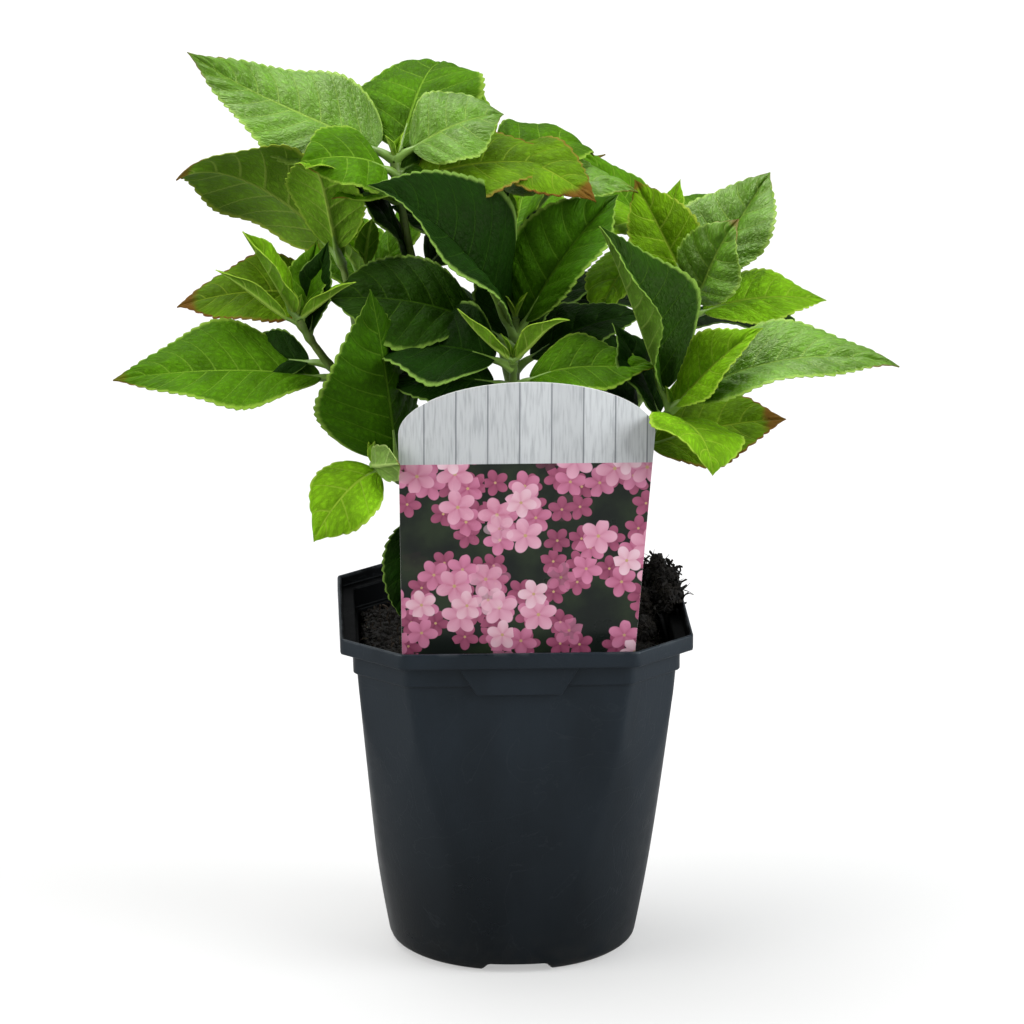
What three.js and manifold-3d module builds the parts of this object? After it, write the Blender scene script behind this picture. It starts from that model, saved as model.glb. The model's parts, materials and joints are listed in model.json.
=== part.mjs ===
// A young hydrangea shrub in its nursery pot, with the picture card that stands inside the rim.
// Millimetres, +Z up, -Y is the front. The origin is the middle of the pot's flat underside.

import * as THREE from "three";
import { mergeVertices } from "three/addons/utils/BufferGeometryUtils.js";
import Module from "manifold-3d";

const wasm = await Module();
wasm.setup();

// Driving sizes

const GAP = 0.3;             // clear space between neighbouring pieces
const POT_HEIGHT = 130;
const POT_SIDES = 48;        // steps round the pot
const WALL = 1.5;
const FLOOR = 5.5;           // top of the pot's floor
const BODY_TOP = 116;        // where the smooth wall ends under the stacking ledge
const LEDGE_TOP = 124;       // where the rim band starts
const LEDGE_OUT = 1.4;       // how far the ledge stands out from the wall
const RIM_OUT = 6.2;         // how far the rim band stands out from the wall
const FOOT_ROUND = 4.5;      // radius of the rounded lower edge
const WALL_LEVELS = [22, 42, 62, 84, 102];
const CHANNEL = { width: 23, height: 3, from: 16 };
const TAB = { top: 46, bottom: 31, height: 11, thick: 1.3 };

// The wall is the nearest of a cone, four flat sides and four flat corners, given at foot and top
const CONE = { foot: 46.2, top: 72.6 };
const SIDE = { foot: 48.5, top: 58.8 };
const CORNER = { foot: 48.2, top: 70.8 };

const SOIL_TOP = 118;
const SHRUNK = 1.3;          // the dry soil has drawn back from the wall by this much
// The clod that rises over the rim, as tapering lumps: x, y, foot, top, radius at foot and top
const CLOD = [
  [49, 18, 115, 140, 7, 4],
  [55.5, 15, 127, 146, 5, 1.8],
  [44, 24, 115, 134, 5, 2],
];

const CARD = { thick: 0.7, bottom: 119.5, shoulder: 212, top: 231.5, leftFoot: -42.5, rightFoot: 42 };
const CARD_TOP_HALF = 46.3;  // half its width at the shoulder
const CARD_SHIFT = 2.6;      // the card stands a little crooked, its top to the right
const CARD_LEAN = 0.085;     // forward for each mm of height, like the pot's wall
const CARD_Y = -55.9;        // its middle at the ledge
const STAKE = { width: 20, bottom: 88 };

const CROWN = { top: 131.5, base: 13, waist: 11.2 };
const FOOT_RING = 8.5;       // the stems stand on the crown in a ring of this radius
const STEM_START = 132.3;    // height of a foot's middle: it leans, and its low edge is clear by GAP
const STEM_FOOT = 2.2;       // stem radius at the crown
const BOUGH_FOOT = 1.9;      // radius of a bough where it leaves its stem
const STEM_TIP = 1.4;

// Each shoot: foot on the crown (turn) or on another stem (parent, share of its length), then the
// place of its tip (turn, reach, height), the way it arrives there (turn, rise) and how much of
// its end is the twig inside the mass of leaves. Turns are from +X towards +Y in degrees.
const SHOOTS = {
  front: { turn: 235, tip: [268, 46, 235], arrive: [265, 62], own: 34 },
  middle: { turn: 285, tip: [272, 14, 243], arrive: [270, 80], own: 30 },
  left: { turn: 180, tip: [199, 84, 247], arrive: [200, 60], own: 42 },
  low_left: { parent: "front", at: 0.35, tip: [222, 71, 197], arrive: [190, 35], own: 16 },
  left_back: { parent: "left", at: 0.45, tip: [170, 64, 260], arrive: [170, 70], own: 34 },
  top: { turn: 130, tip: [167, 44, 298], arrive: [130, 80], own: 36 },
  top_right: { turn: 40, tip: [109, 28, 293], arrive: [60, 80], own: 36 },
  right_back: { turn: 5, tip: [4, 68, 245], arrive: [20, 65], own: 36 },
  right: { turn: 330, tip: [323, 70, 215], arrive: [330, 50], own: 34 },
  back_left: { parent: "top", at: 0.45, tip: [130, 84, 244], arrive: [130, 60], own: 36 },
  back_right: { parent: "right_back", at: 0.4, tip: [43, 84, 255], arrive: [60, 60], own: 36 },
  back: { turn: 85, tip: [89, 88, 252], arrive: [90, 55], own: 36 },
};

// Each leaf: how far below the shoot's tip it sits, turn, rise and length from there to its own
// tip, half width, how steeply it leaves and how steeply it ends beside that line, roll, fold.
const LEAVES = {
  front: [
    [0, 212, 43, 33, 5, -12, -10, 0, 45],
    [0, 319, 36, 32, 6, -5, 25, 0, 45],
    [7, 167, 20, 37, 17, 32, 10, 22, 14],
    [9, 357, 15, 50, 17, 32, 10, -18, 14],
  ],
  middle: [
    [0, 202, 45, 81, 24, -8, 5, 30, 39],
    [0, 13, 52, 62, 23, 0, 10, -30, 32],
    [14, 186, 21, 73, 20, 25, 25, 40, 10],
    [14, 5, 22, 42, 14, 25, 25, -20, 12],
  ],
  left: [
    [0, 200, 59, 40, 9, 0, 0, 20, 40],
    [0, 325, 33, 31, 4.5, -8, 10, 0, 45],
    [3, 212, 35, 44, 4.5, -8, 5, 0, 45],
    [3, 68, 60, 33, 9, 0, 0, 0, 30],
    [30, 186, 2, 84, 21, 12, 10, 22, 16],
    [18, 108, -6, 60, 14, 14, 10, 0, 12],
  ],
  low_left: [
    [0, 100, 89, 66, 23, 8, 5, 0, 10],
    [5, 192, -53, 34, 13, 50, 35, 30, 5],
    [0, 255, -7, 37, 6, 20, 30, 90, 20],
    [12, 116, -85, 44, 12, 20, 30, 0, 10],
  ],
  left_back: [
    [0, 187, 27, 68, 23, 42, 50, -45, 12],
    [1, 239, 54, 55, 14, 0, 60, 0, 10],
    [22, 170, 0, 65, 18, 20, 20, 30, 14],
  ],
  top: [
    [0, 160, 24, 88, 22, 12, 4, 42, 10],
    [2, 68, 25, 65, 24, 20, 45, 0, 8],
    [0, 10, 29, 44, 17, 20, 30, -35, 10],
    [3, 239, 5, 50, 17, 60, 55, 0, 5],
    [12, 2, 5, 43, 13, 24, 18, -28, 14],
  ],
  top_right: [
    [0, 28, -2, 48, 19, 42, 35, -15, 12],
    [4, 83, -11, 60, 18, 35, 30, 0, 10],
    [11, 355, 1, 58, 16, 25, 20, -18, 12],
    [0, 313, 5, 54, 14, 42, 25, -22, 12],
  ],
  right_back: [
    [0, 138, 56, 51, 14, 5, 5, 35, 25],
    [0, 38, 45, 57, 19, 8, 5, -20, 14],
    [7, 330, 62, 45, 16, -5, 20, -70, 15],
    [8, 11, 0, 55, 13, 30, 20, -30, 14],
  ],
  right: [
    [0, 353, 12, 85, 19, 22, 20, -25, 18],
    [0, 173, 69, 73, 25, 0, 5, 20, 47],
    [4, 331, 44, 54, 13, 5, 15, -50, 25],
    [6, 303, -15, 38, 13, 35, 45, 5, 12],
    [24, 358, 12, 54, 15, 15, 15, -40, 12],
  ],
  back_right: [
    [0, 238, 14, 57, 13, 30, 30, 20, 12],
    [6, 247, -14, 59, 10, 50, 40, 0, 12],
  ],
};

// The shoots at the back carry opposite pairs, every pair a quarter turn on from the last:
// distance below the tip, rise, length, half width, and how steeply the leaf leaves its stem.
const PAIRS = [
  [0, 64, 26, 5, 0],
  [8, 47, 56, 16, 15],
  [18, 21, 70, 20, 15],
  [32, 0, 67, 19.5, 15],
];
// The turn of the first leaf, and which leaves are left out for want of room
const BACK = {
  back_left: { first: 110, without: [5, 7, 8] },
  back_right: { first: 60, without: [4, 5, 8] },
  back: { first: 80, without: [3, 5, 8] },
};

// Solids

function toSolid(geometry) {
  geometry.deleteAttribute("normal");
  geometry.deleteAttribute("uv");
  const merged = mergeVertices(geometry);
  const vertProperties = new Float32Array(merged.getAttribute("position").array);
  const triVerts = new Uint32Array(merged.getIndex().array);
  return new wasm.Manifold(new wasm.Mesh({ numProp: 3, vertProperties, triVerts }));
}

// Rings of equal count, one after the other, closed at both ends to a point
function skin(rings, first, last) {
  const count = rings[0].length;
  const points = [first, ...rings.flat(), last];
  const end = 1 + (rings.length - 1) * count;
  const faces = [];
  for (let j = 0; j < count; j++) {
    const next = (j + 1) % count;
    faces.push(0, 1 + next, 1 + j);
    for (let i = 1; i < end; i += count) {
      faces.push(i + j, i + next, i + next + count);
      faces.push(i + j, i + next + count, i + j + count);
    }
    faces.push(points.length - 1, end + j, end + next);
  }
  return toSolid(new THREE.BufferGeometry().setFromPoints(points).setIndex(faces));
}

function tube(curve, from, to, radius, sides, steps) {
  const rings = [];
  for (let i = 0; i <= steps; i++) {
    const u = from + (to - from) * i / steps;
    const centre = curve.getPointAt(u);
    const along = curve.getTangentAt(u);
    const across = along.clone().cross(new THREE.Vector3(0.3, 0.9, 0.1)).normalize();
    const other = along.clone().cross(across);
    rings.push(circle(centre, across, other, radius(u), sides));
  }
  return skin(rings, curve.getPointAt(from), curve.getPointAt(to));
}

function circle(centre, across, other, radius, sides) {
  return Array.from({ length: sides }, (_, j) => {
    const angle = 2 * Math.PI * j / sides;
    return centre.clone()
      .addScaledVector(across, radius * Math.cos(angle))
      .addScaledVector(other, radius * Math.sin(angle));
  });
}

// Fuses the pieces into one body: a hollow sealed between them is filled, loose scraps are dropped
function fuse(pieces) {
  const bodies = wasm.Manifold.union(pieces).decompose();
  return bodies.reduce((a, b) => (a.volume() > b.volume() ? a : b));
}

// Pot

function mix(ends, share) {
  return ends.foot + (ends.top - ends.foot) * share;
}

function potRing(z, out) {
  const share = Math.min(z, BODY_TOP) / BODY_TOP;
  return Array.from({ length: POT_SIDES }, (_, j) => {
    const angle = 2 * Math.PI * j / POT_SIDES;
    const side = Math.max(Math.abs(Math.cos(angle)), Math.abs(Math.sin(angle)));
    const turned = angle - Math.PI / 4;
    const corner = Math.max(Math.abs(Math.cos(turned)), Math.abs(Math.sin(turned)));
    const radius = Math.min(
      mix(CONE, share) + out,
      (mix(SIDE, share) + out) / side,
      (mix(CORNER, share) + out) / corner,
    );
    return new THREE.Vector3(radius * Math.cos(angle), radius * Math.sin(angle), z);
  });
}

function makePot() {
  const rings = [];
  for (const degrees of [90, 60, 30]) {
    const a = THREE.MathUtils.degToRad(degrees);
    rings.push(potRing(FOOT_ROUND * (1 - Math.sin(a)), -FOOT_ROUND * (1 - Math.cos(a))));
  }
  [FOOT_ROUND, ...WALL_LEVELS, BODY_TOP].forEach((z) => rings.push(potRing(z, 0)));
  rings.push(potRing(BODY_TOP, LEDGE_OUT), potRing(LEDGE_TOP, LEDGE_OUT));
  rings.push(potRing(LEDGE_TOP, RIM_OUT), potRing(POT_HEIGHT, RIM_OUT));
  rings.push(potRing(POT_HEIGHT, RIM_OUT - WALL), potRing(LEDGE_TOP + WALL, RIM_OUT - WALL));
  rings.push(potRing(LEDGE_TOP + WALL, LEDGE_OUT - WALL));
  rings.push(potRing(BODY_TOP + WALL, LEDGE_OUT - WALL));
  rings.push(potRing(BODY_TOP + WALL, -WALL));
  WALL_LEVELS.toReversed().forEach((z) => rings.push(potRing(z, -WALL)));
  rings.push(potRing(FLOOR, -WALL));
  let pot = skin(rings, new THREE.Vector3(0, 0, 0), new THREE.Vector3(0, 0, FLOOR));

  // Four drain channels under the floor, one to each side
  const length = CONE.foot - CHANNEL.from + 10;
  for (let quarter = 0; quarter < 4; quarter++) {
    const channel = new THREE.BoxGeometry(length, CHANNEL.width, 2 * CHANNEL.height);
    channel.translate(CHANNEL.from + length / 2, 0, 0);
    channel.rotateZ(Math.PI / 2 * quarter);
    pot = pot.subtract(toSolid(channel));
  }
  return pot.add(makeTab());
}

// The label pocket: a tab that hangs from the rim at the front
function makeTab() {
  const face = SIDE.top + LEDGE_OUT;
  const shape = new THREE.Shape([
    new THREE.Vector2(-TAB.top / 2, LEDGE_TOP + 1),
    new THREE.Vector2(-TAB.bottom / 2, LEDGE_TOP - TAB.height),
    new THREE.Vector2(TAB.bottom / 2, LEDGE_TOP - TAB.height),
    new THREE.Vector2(TAB.top / 2, LEDGE_TOP + 1),
  ]);
  const depth = TAB.thick + LEDGE_OUT + 1;
  const tab = new THREE.ExtrudeGeometry(shape, { depth, bevelEnabled: false });
  tab.rotateX(Math.PI / 2);
  tab.translate(0, -face - TAB.thick + depth, 0);
  return toSolid(tab);
}

// Soil, with the socket for the card's stake and the clod that rises over the rim

function makeSoil(stake) {
  const inset = -WALL - SHRUNK;
  const rings = [FLOOR + GAP, ...WALL_LEVELS, SOIL_TOP - 3].map((z) => potRing(z, inset));
  for (const [share, rise] of [[0.93, 0.6], [0.78, 1.2], [0.55, 0.7], [0.34, 0]]) {
    const edge = potRing(BODY_TOP, inset);
    rings.push(edge.map((p, j) => {
      const bump = share > 0.34 ? 0.7 * Math.sin(j * 2.4 + share * 30) : 0;
      return new THREE.Vector3(p.x * share, p.y * share, SOIL_TOP + rise + bump);
    }));
  }
  const soil = skin(
    rings,
    new THREE.Vector3(0, 0, FLOOR + GAP),
    new THREE.Vector3(0, 0, SOIL_TOP),
  );
  const lumps = CLOD.map(([x, y, foot, top, low, high]) => {
    const lump = new THREE.CylinderGeometry(high, low, top - foot, 9);
    lump.rotateX(Math.PI / 2);
    lump.translate(x, y, (foot + top) / 2);
    return toSolid(lump);
  });
  return wasm.Manifold.union([soil, ...lumps]).subtract(stake);
}

// Picture card: a slightly flared sheet with an arched top, on a stake that stands in the soil

function cardOutline(grow) {
  const half = CARD_TOP_HALF + grow;
  const shape = new THREE.Shape();
  shape.moveTo(-STAKE.width / 2 - grow, STAKE.bottom - grow);
  shape.lineTo(STAKE.width / 2 + grow, STAKE.bottom - grow);
  shape.lineTo(STAKE.width / 2 + grow, CARD.bottom - grow);
  shape.lineTo(CARD.rightFoot + grow, CARD.bottom - grow);
  shape.lineTo(CARD_SHIFT + half, CARD.shoulder);
  shape.absellipse(CARD_SHIFT, CARD.shoulder, half, CARD.top - CARD.shoulder + grow, 0, Math.PI);
  shape.lineTo(CARD.leftFoot - grow, CARD.bottom - grow);
  shape.lineTo(-STAKE.width / 2 - grow, CARD.bottom - grow);
  return shape;
}

function makeCard(grow) {
  const depth = CARD.thick + 2 * grow;
  const settings = { depth, bevelEnabled: false, curveSegments: 14 };
  const card = new THREE.ExtrudeGeometry(cardOutline(grow), settings);
  card.rotateX(Math.PI / 2);
  card.translate(0, CARD_Y + depth / 2 + LEDGE_TOP * CARD_LEAN, 0);
  card.applyMatrix4(new THREE.Matrix4().makeShear(0, 0, 0, 0, 0, -CARD_LEAN));
  return toSolid(card);
}

// Stems

function direction(turn, rise) {
  const a = THREE.MathUtils.degToRad(turn);
  const e = THREE.MathUtils.degToRad(rise);
  return new THREE.Vector3(Math.cos(a) * Math.cos(e), Math.sin(a) * Math.cos(e), Math.sin(e));
}

const curves = {};

function stemCurve(name) {
  if (curves[name]) {
    return curves[name];
  }
  const shoot = SHOOTS[name];
  const [turn, reach, height] = shoot.tip;
  const tip = direction(turn, 0).multiplyScalar(reach).setZ(height);
  const foot = new THREE.Vector3();
  const leave = new THREE.Vector3();
  if (shoot.parent) {
    const parent = stemCurve(shoot.parent);
    foot.copy(parent.getPointAt(shoot.at));
    const out = tip.clone().sub(foot).setZ(0).normalize();
    leave.copy(parent.getTangentAt(shoot.at)).multiplyScalar(0.15).addScaledVector(out, 0.27);
  } else {
    foot.copy(direction(shoot.turn, 0)).multiplyScalar(FOOT_RING).setZ(STEM_START);
    leave.copy(direction(shoot.turn, 0)).multiplyScalar(0.07).setZ(0.33);
  }
  const span = foot.distanceTo(tip);
  curves[name] = new THREE.CubicBezierCurve3(
    foot,
    foot.clone().addScaledVector(leave, span),
    tip.clone().addScaledVector(direction(...shoot.arrive), -0.36 * span),
    tip,
  );
  return curves[name];
}

function stemRadius(name, grow = 0) {
  const start = SHOOTS[name].parent ? BOUGH_FOOT : STEM_FOOT;
  return (u) => start + (STEM_TIP - start) * u + grow;
}

function makeLimb(name) {
  const curve = stemCurve(name);
  const end = 1 - (SHOOTS[name].own + GAP) / curve.getLength();
  const limb = tube(curve, 0, end, stemRadius(name), 8, 7);
  const parent = SHOOTS[name].parent;
  if (!parent) {
    return limb;
  }
  return fuse([limb.subtract(tube(stemCurve(parent), 0, 0.9, stemRadius(parent, 1.3 * GAP), 8, 9))]);
}

function makeCrown() {
  const axes = [new THREE.Vector3(1, 0, 0), new THREE.Vector3(0, 1, 0)];
  const foot = SOIL_TOP + GAP;
  const profile = [[foot, CROWN.base], [foot + 3, CROWN.waist], [CROWN.top - 1, CROWN.waist]];
  profile.push([CROWN.top, CROWN.waist - 0.6]);
  const rings = profile.map(([z, radius]) =>
    circle(new THREE.Vector3(0, 0, z), ...axes, radius, 20));
  return skin(rings, new THREE.Vector3(0, 0, foot), new THREE.Vector3(0, 0, CROWN.top));
}

// Leaves

const BLADE_ROWS = [0.1, 0.27, 0.48, 0.69, 0.88];
const BLADE_SHARES = [-1, -0.5, 0, 0.5, 1];
const CURL = THREE.MathUtils.degToRad(18);

// Half of the blade's width, from 0 at its foot (share 0) to 0 at its tip (share 1)
function bladeWidth(share, half) {
  return half * Math.sin(Math.PI * share ** 0.82) ** (0.8 + 0.4 * share);
}

function makeLeaf(base, [, turn, rise, length, half, lift, droop, roll, fold]) {
  const along = direction(turn, rise);
  const flat = direction(turn, 0);
  const level = THREE.MathUtils.degToRad(rise);
  const up = flat.clone().multiplyScalar(-Math.sin(level)).setZ(Math.cos(level));
  const side = up.clone().cross(along);
  const tilt = THREE.MathUtils.degToRad(roll);
  const normal = up.clone().multiplyScalar(Math.cos(tilt)).addScaledVector(side, Math.sin(tilt));
  side.multiplyScalar(Math.cos(tilt)).addScaledVector(up, -Math.sin(tilt));

  const leave = THREE.MathUtils.degToRad(lift);
  const arrive = THREE.MathUtils.degToRad(droop);
  const reach = 0.36 * length;
  const tip = base.clone().addScaledVector(along, length);
  const rib = new THREE.CubicBezierCurve3(
    base,
    base.clone()
      .addScaledVector(along, reach * Math.cos(leave))
      .addScaledVector(normal, reach * Math.sin(leave)),
    tip.clone()
      .addScaledVector(along, -reach * Math.cos(arrive))
      .addScaledVector(normal, reach * Math.sin(arrive)),
    tip,
  );

  const stalk = length > 40 ? 7 / length : 0.06;
  const thick = length > 45 ? 0.6 : 0.4;
  const bend = THREE.MathUtils.degToRad(fold);
  const rings = BLADE_ROWS.map((share) => {
    const t = stalk + (1 - stalk) * share;
    const centre = rib.getPoint(t);
    const lift = rib.getTangent(t).cross(side);
    const width = bladeWidth(share, half);
    const place = (part, height) => {
      const turned = CURL * Math.abs(part);
      const across = Math.sign(part) * width * (Math.sin(bend) - Math.sin(bend - turned)) / CURL;
      const above = width * (Math.cos(bend - turned) - Math.cos(bend)) / CURL;
      return centre.clone().addScaledVector(side, across).addScaledVector(lift, above + height);
    };
    const inner = BLADE_SHARES.slice(1, -1);
    const deep = (part) => thick * (1 - 0.5 * Math.abs(part));
    return [
      place(1, 0),
      ...inner.toReversed().map((part) => place(part, deep(part))),
      place(-1, 0),
      ...inner.map((part) => place(part, -deep(part))),
    ];
  });
  const blade = skin(rings, rib.getPoint(stalk), tip);
  const stem = length > 45 ? 1.25 : 0.9;
  const petiole = stalkTube(rib, stalk + 0.06, stem, thick);
  return blade.add(petiole);
}

function stalkTube(rib, end, from, to) {
  const rings = [0, 1].map((share) => {
    const centre = rib.getPoint(end * share);
    const along = rib.getTangent(end * share);
    const across = along.clone().cross(new THREE.Vector3(0.3, 0.2, 0.9)).normalize();
    return circle(centre, across, along.clone().cross(across), from + (to - from) * share, 4);
  });
  return skin(rings, rib.getPoint(0), rib.getPoint(end));
}

function leafRows(name) {
  const rows = [...(LEAVES[name] ?? [])];
  const back = BACK[name];
  if (!back) {
    return rows;
  }
  PAIRS.forEach(([down, rise, length, half, lift], pair) => {
    for (const side of [0, 1]) {
      const number = 2 * pair + side + 1;
      if (!back.without.includes(number)) {
        const turn = back.first + 90 * pair + 180 * side;
        rows.push([down, turn, rise, length, half, lift, 22, 0, 14]);
      }
    }
  });
  return rows;
}

function makeFoliage(name) {
  const curve = stemCurve(name);
  const length = curve.getLength();
  const own = SHOOTS[name].own;
  const twig = tube(curve, 1 - own / length, 1, stemRadius(name), 6, 3);
  const leaves = leafRows(name).map((row) => makeLeaf(curve.getPointAt(1 - row[0] / length), row));
  return fuse([twig, ...leaves]);
}

// Scene

function toMesh(name, solid, color, roughness) {
  const { vertProperties, triVerts } = solid.getMesh();
  const geometry = new THREE.BufferGeometry();
  geometry.setAttribute("position", new THREE.BufferAttribute(vertProperties, 3));
  geometry.setIndex(new THREE.BufferAttribute(triVerts, 1));
  geometry.computeVertexNormals();
  const material = new THREE.MeshStandardMaterial({ color, roughness, metalness: 0 });
  const mesh = new THREE.Mesh(geometry, material);
  mesh.name = name;
  return mesh;
}

const plant = new THREE.Group();
plant.name = "hydrangea_in_pot";
plant.add(toMesh("pot", makePot(), "#1d2227", 0.4));
plant.add(toMesh("soil", makeSoil(makeCard(GAP)), "#1e1713", 1));
plant.add(toMesh("label_card", makeCard(0), "#8a7f80", 0.35));
plant.add(toMesh("root_crown", makeCrown(), "#6b5a3e", 0.9));
for (const name of Object.keys(SHOOTS)) {
  const kind = SHOOTS[name].parent ? "bough" : "stem";
  plant.add(toMesh(`${kind}_${name}`, makeLimb(name), "#7d8a4a", 0.7));
}
for (const name of Object.keys(SHOOTS)) {
  plant.add(toMesh(`foliage_${name}`, makeFoliage(name), "#3f7d20", 0.5));
}

export default plant;
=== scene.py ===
# %% [markdown]
# # A young hydrangea in its nursery pot
# This lesson dresses a small potted shrub that was first built as plain solids. The solids give
# the places: the pot, the soil, the stems and the twelve shoots with their leaves. Here each of
# them gets its real surface. All sizes are written in millimetres and turned into metres once,
# when a mesh is made, so the numbers can be read as they would be measured on a table.

# %% Frame and units
import json
import math
import random

import bmesh
import bpy
import numpy as np
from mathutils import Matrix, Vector, noise

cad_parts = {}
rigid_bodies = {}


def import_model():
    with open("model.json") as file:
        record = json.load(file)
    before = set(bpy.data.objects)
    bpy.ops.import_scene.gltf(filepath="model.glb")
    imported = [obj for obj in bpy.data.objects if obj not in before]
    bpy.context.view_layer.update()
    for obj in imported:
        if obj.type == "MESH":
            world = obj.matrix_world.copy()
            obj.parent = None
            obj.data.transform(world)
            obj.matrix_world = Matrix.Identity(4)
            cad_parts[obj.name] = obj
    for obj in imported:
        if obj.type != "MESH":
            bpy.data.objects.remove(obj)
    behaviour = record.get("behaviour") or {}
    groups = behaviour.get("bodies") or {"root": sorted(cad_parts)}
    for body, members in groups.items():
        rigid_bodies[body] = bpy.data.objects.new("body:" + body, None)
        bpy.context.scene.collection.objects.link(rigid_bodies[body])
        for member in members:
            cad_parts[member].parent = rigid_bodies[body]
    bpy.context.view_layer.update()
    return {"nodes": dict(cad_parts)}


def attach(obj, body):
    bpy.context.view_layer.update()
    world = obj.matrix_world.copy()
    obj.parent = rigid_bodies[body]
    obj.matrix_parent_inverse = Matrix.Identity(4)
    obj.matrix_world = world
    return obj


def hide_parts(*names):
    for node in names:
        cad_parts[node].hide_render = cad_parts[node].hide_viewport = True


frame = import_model()
MM = 0.001
scene = bpy.context.scene
noise.seed_set(5)  # the same clod of peat on every run
print("nodes in the frame:", len(frame["nodes"]))

# %% [markdown]
# ## Camera, floor and light
# The picture was taken a little from the left and 15 degrees from above, with a long lens, so the
# rim of the pot looks almost like a straight band. A long lens two metres away gives that. The
# plant stands on a plain white table. Four lights reach the whole table alike: a very wide one
# from above, which leaves a soft shadow all round the foot, a smaller one overhead that puts a
# sheen on the leaves, and one from each side that draws the pale facets on the pot's corners.
# Nothing shines straight from the front, so the leaves that face the viewer stay dark.

# %% Camera
TARGET = Vector((0.0, 0.0, 0.1659))
CAMERA_TURN = math.radians(2.5)
CAMERA_RISE = math.radians(15)
CAMERA_DISTANCE = 2.0
FRAME_WIDTH = 0.3824  # metres across the picture at the pot


def add_object(name, data):
    thing = bpy.data.objects.new(name, data)
    scene.collection.objects.link(thing)
    return thing


def make_camera():
    data = bpy.data.cameras.new("camera")
    data.sensor_width = 36
    data.lens = 36 * CAMERA_DISTANCE / FRAME_WIDTH
    camera = add_object("camera", data)
    flat = math.cos(CAMERA_RISE)
    back = Vector((-math.sin(CAMERA_TURN) * flat, -math.cos(CAMERA_TURN) * flat, math.sin(CAMERA_RISE)))
    camera.location = TARGET + back * CAMERA_DISTANCE
    camera.rotation_euler = back.to_track_quat("Z", "Y").to_euler()
    scene.camera = camera
    return camera


camera = make_camera()
print("lens in mm:", round(camera.data.lens, 1))


# %% Lights and world
def even_light(name, towards, strength, width, color=(1, 1, 1)):
    data = bpy.data.lights.new(name, "SUN")
    data.energy = strength
    data.angle = math.radians(width)
    data.color = color
    light = add_object(name, data)
    light.rotation_euler = Vector(towards).to_track_quat("Z", "Y").to_euler()


even_light("light_above", (-0.15, 0.28, 1.0), 2.7, 80)
even_light("light_sheen", (-0.35, 0.35, 1.6), 1.4, 35)
even_light("light_left", (-1.5, -0.6, 0.7), 2.3, 45, (1.0, 0.99, 0.97))
even_light("light_right", (1.6, -0.65, 0.7), 3.8, 45, (0.97, 0.99, 1.0))

world = bpy.data.worlds.new("studio")
world.use_nodes = True
world.node_tree.nodes["Background"].inputs["Color"].default_value = (0.95, 0.98, 1.0, 1)
world.node_tree.nodes["Background"].inputs["Strength"].default_value = 0.14
scene.world = world
scene.view_settings.view_transform = "Standard"

# %% [markdown]
# ## Small helpers for node trees
# Every finish below is a tree of nodes, and these helpers keep the trees short to write. A socket
# knows the tree it belongs to, so the ones that do arithmetic need nothing but the values.


# %% Node helpers
def give(target, value):
    """Links a socket to an input, or writes a plain value into it."""
    if isinstance(value, bpy.types.NodeSocket):
        target.id_data.links.new(value, target)
    else:
        target.default_value = value


def feed(inputs, **values):
    for key, value in values.items():
        give(inputs[key.replace("_", " ")], value)


def put(tree, kind, inputs=None, **settings):
    node = tree.nodes.new(kind)
    for key, value in settings.items():
        setattr(node, key, value)
    for key, value in (inputs or {}).items():
        give(node.inputs[key], value)
    return node


def tree_of(*values):
    return next(value.id_data for value in values if isinstance(value, bpy.types.NodeSocket))


def calc(operation, *values):
    inputs = dict(enumerate(values))
    return put(tree_of(*values), "ShaderNodeMath", inputs, operation=operation).outputs[0]


def plus(a, b):
    return calc("ADD", a, b)


def minus(a, b):
    return calc("SUBTRACT", a, b)


def times(a, b):
    return calc("MULTIPLY", a, b)


def vector(operation, first, second):
    inputs = {0: first, 3 if operation == "SCALE" else 1: second}
    return put(first.id_data, "ShaderNodeVectorMath", inputs, operation=operation).outputs[0]


def join(x, y, z=0.0):
    return put(tree_of(x, y, z), "ShaderNodeCombineXYZ", {0: x, 1: y, 2: z}).outputs[0]


def split(place):
    return put(place.id_data, "ShaderNodeSeparateXYZ", {0: place}).outputs


def smooth(value, low, high, out_low=0.0, out_high=1.0):
    inputs = {"Value": value, "From Min": low, "From Max": high, "To Min": out_low, "To Max": out_high}
    node = put(value.id_data, "ShaderNodeMapRange", inputs, interpolation_type="SMOOTHSTEP")
    return node.outputs["Result"]


def blend(factor, first, second, mode="MIX"):
    inputs = {0: factor, 6: first, 7: second}
    tree = tree_of(factor, first, second)
    return put(tree, "ShaderNodeMix", inputs, data_type="RGBA", blend_type=mode).outputs[2]


def tinted(color, tone):
    grey = put(tree_of(color, tone), "ShaderNodeCombineColor", dict.fromkeys(range(3), tone)).outputs[0]
    return blend(1.0, color, grey, "MULTIPLY")


def fog(place, scale, detail, distortion=0.0, dimensions="3D"):
    inputs = {"Vector": place, "Scale": scale, "Detail": detail, "Distortion": distortion}
    return put(place.id_data, "ShaderNodeTexNoise", inputs, noise_dimensions=dimensions).outputs


def bump(height, distance, strength):
    inputs = {"Height": height, "Distance": distance, "Strength": strength}
    return put(height.id_data, "ShaderNodeBump", inputs).outputs["Normal"]


def object_place(tree):
    return put(tree, "ShaderNodeTexCoord").outputs["Object"]


print("arithmetic on sockets:", [f.__name__ for f in (plus, minus, times, vector, smooth, blend)])


# %% Groups and materials
SOCKETS = {float: "NodeSocketFloat", int: "NodeSocketInt"}


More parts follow.
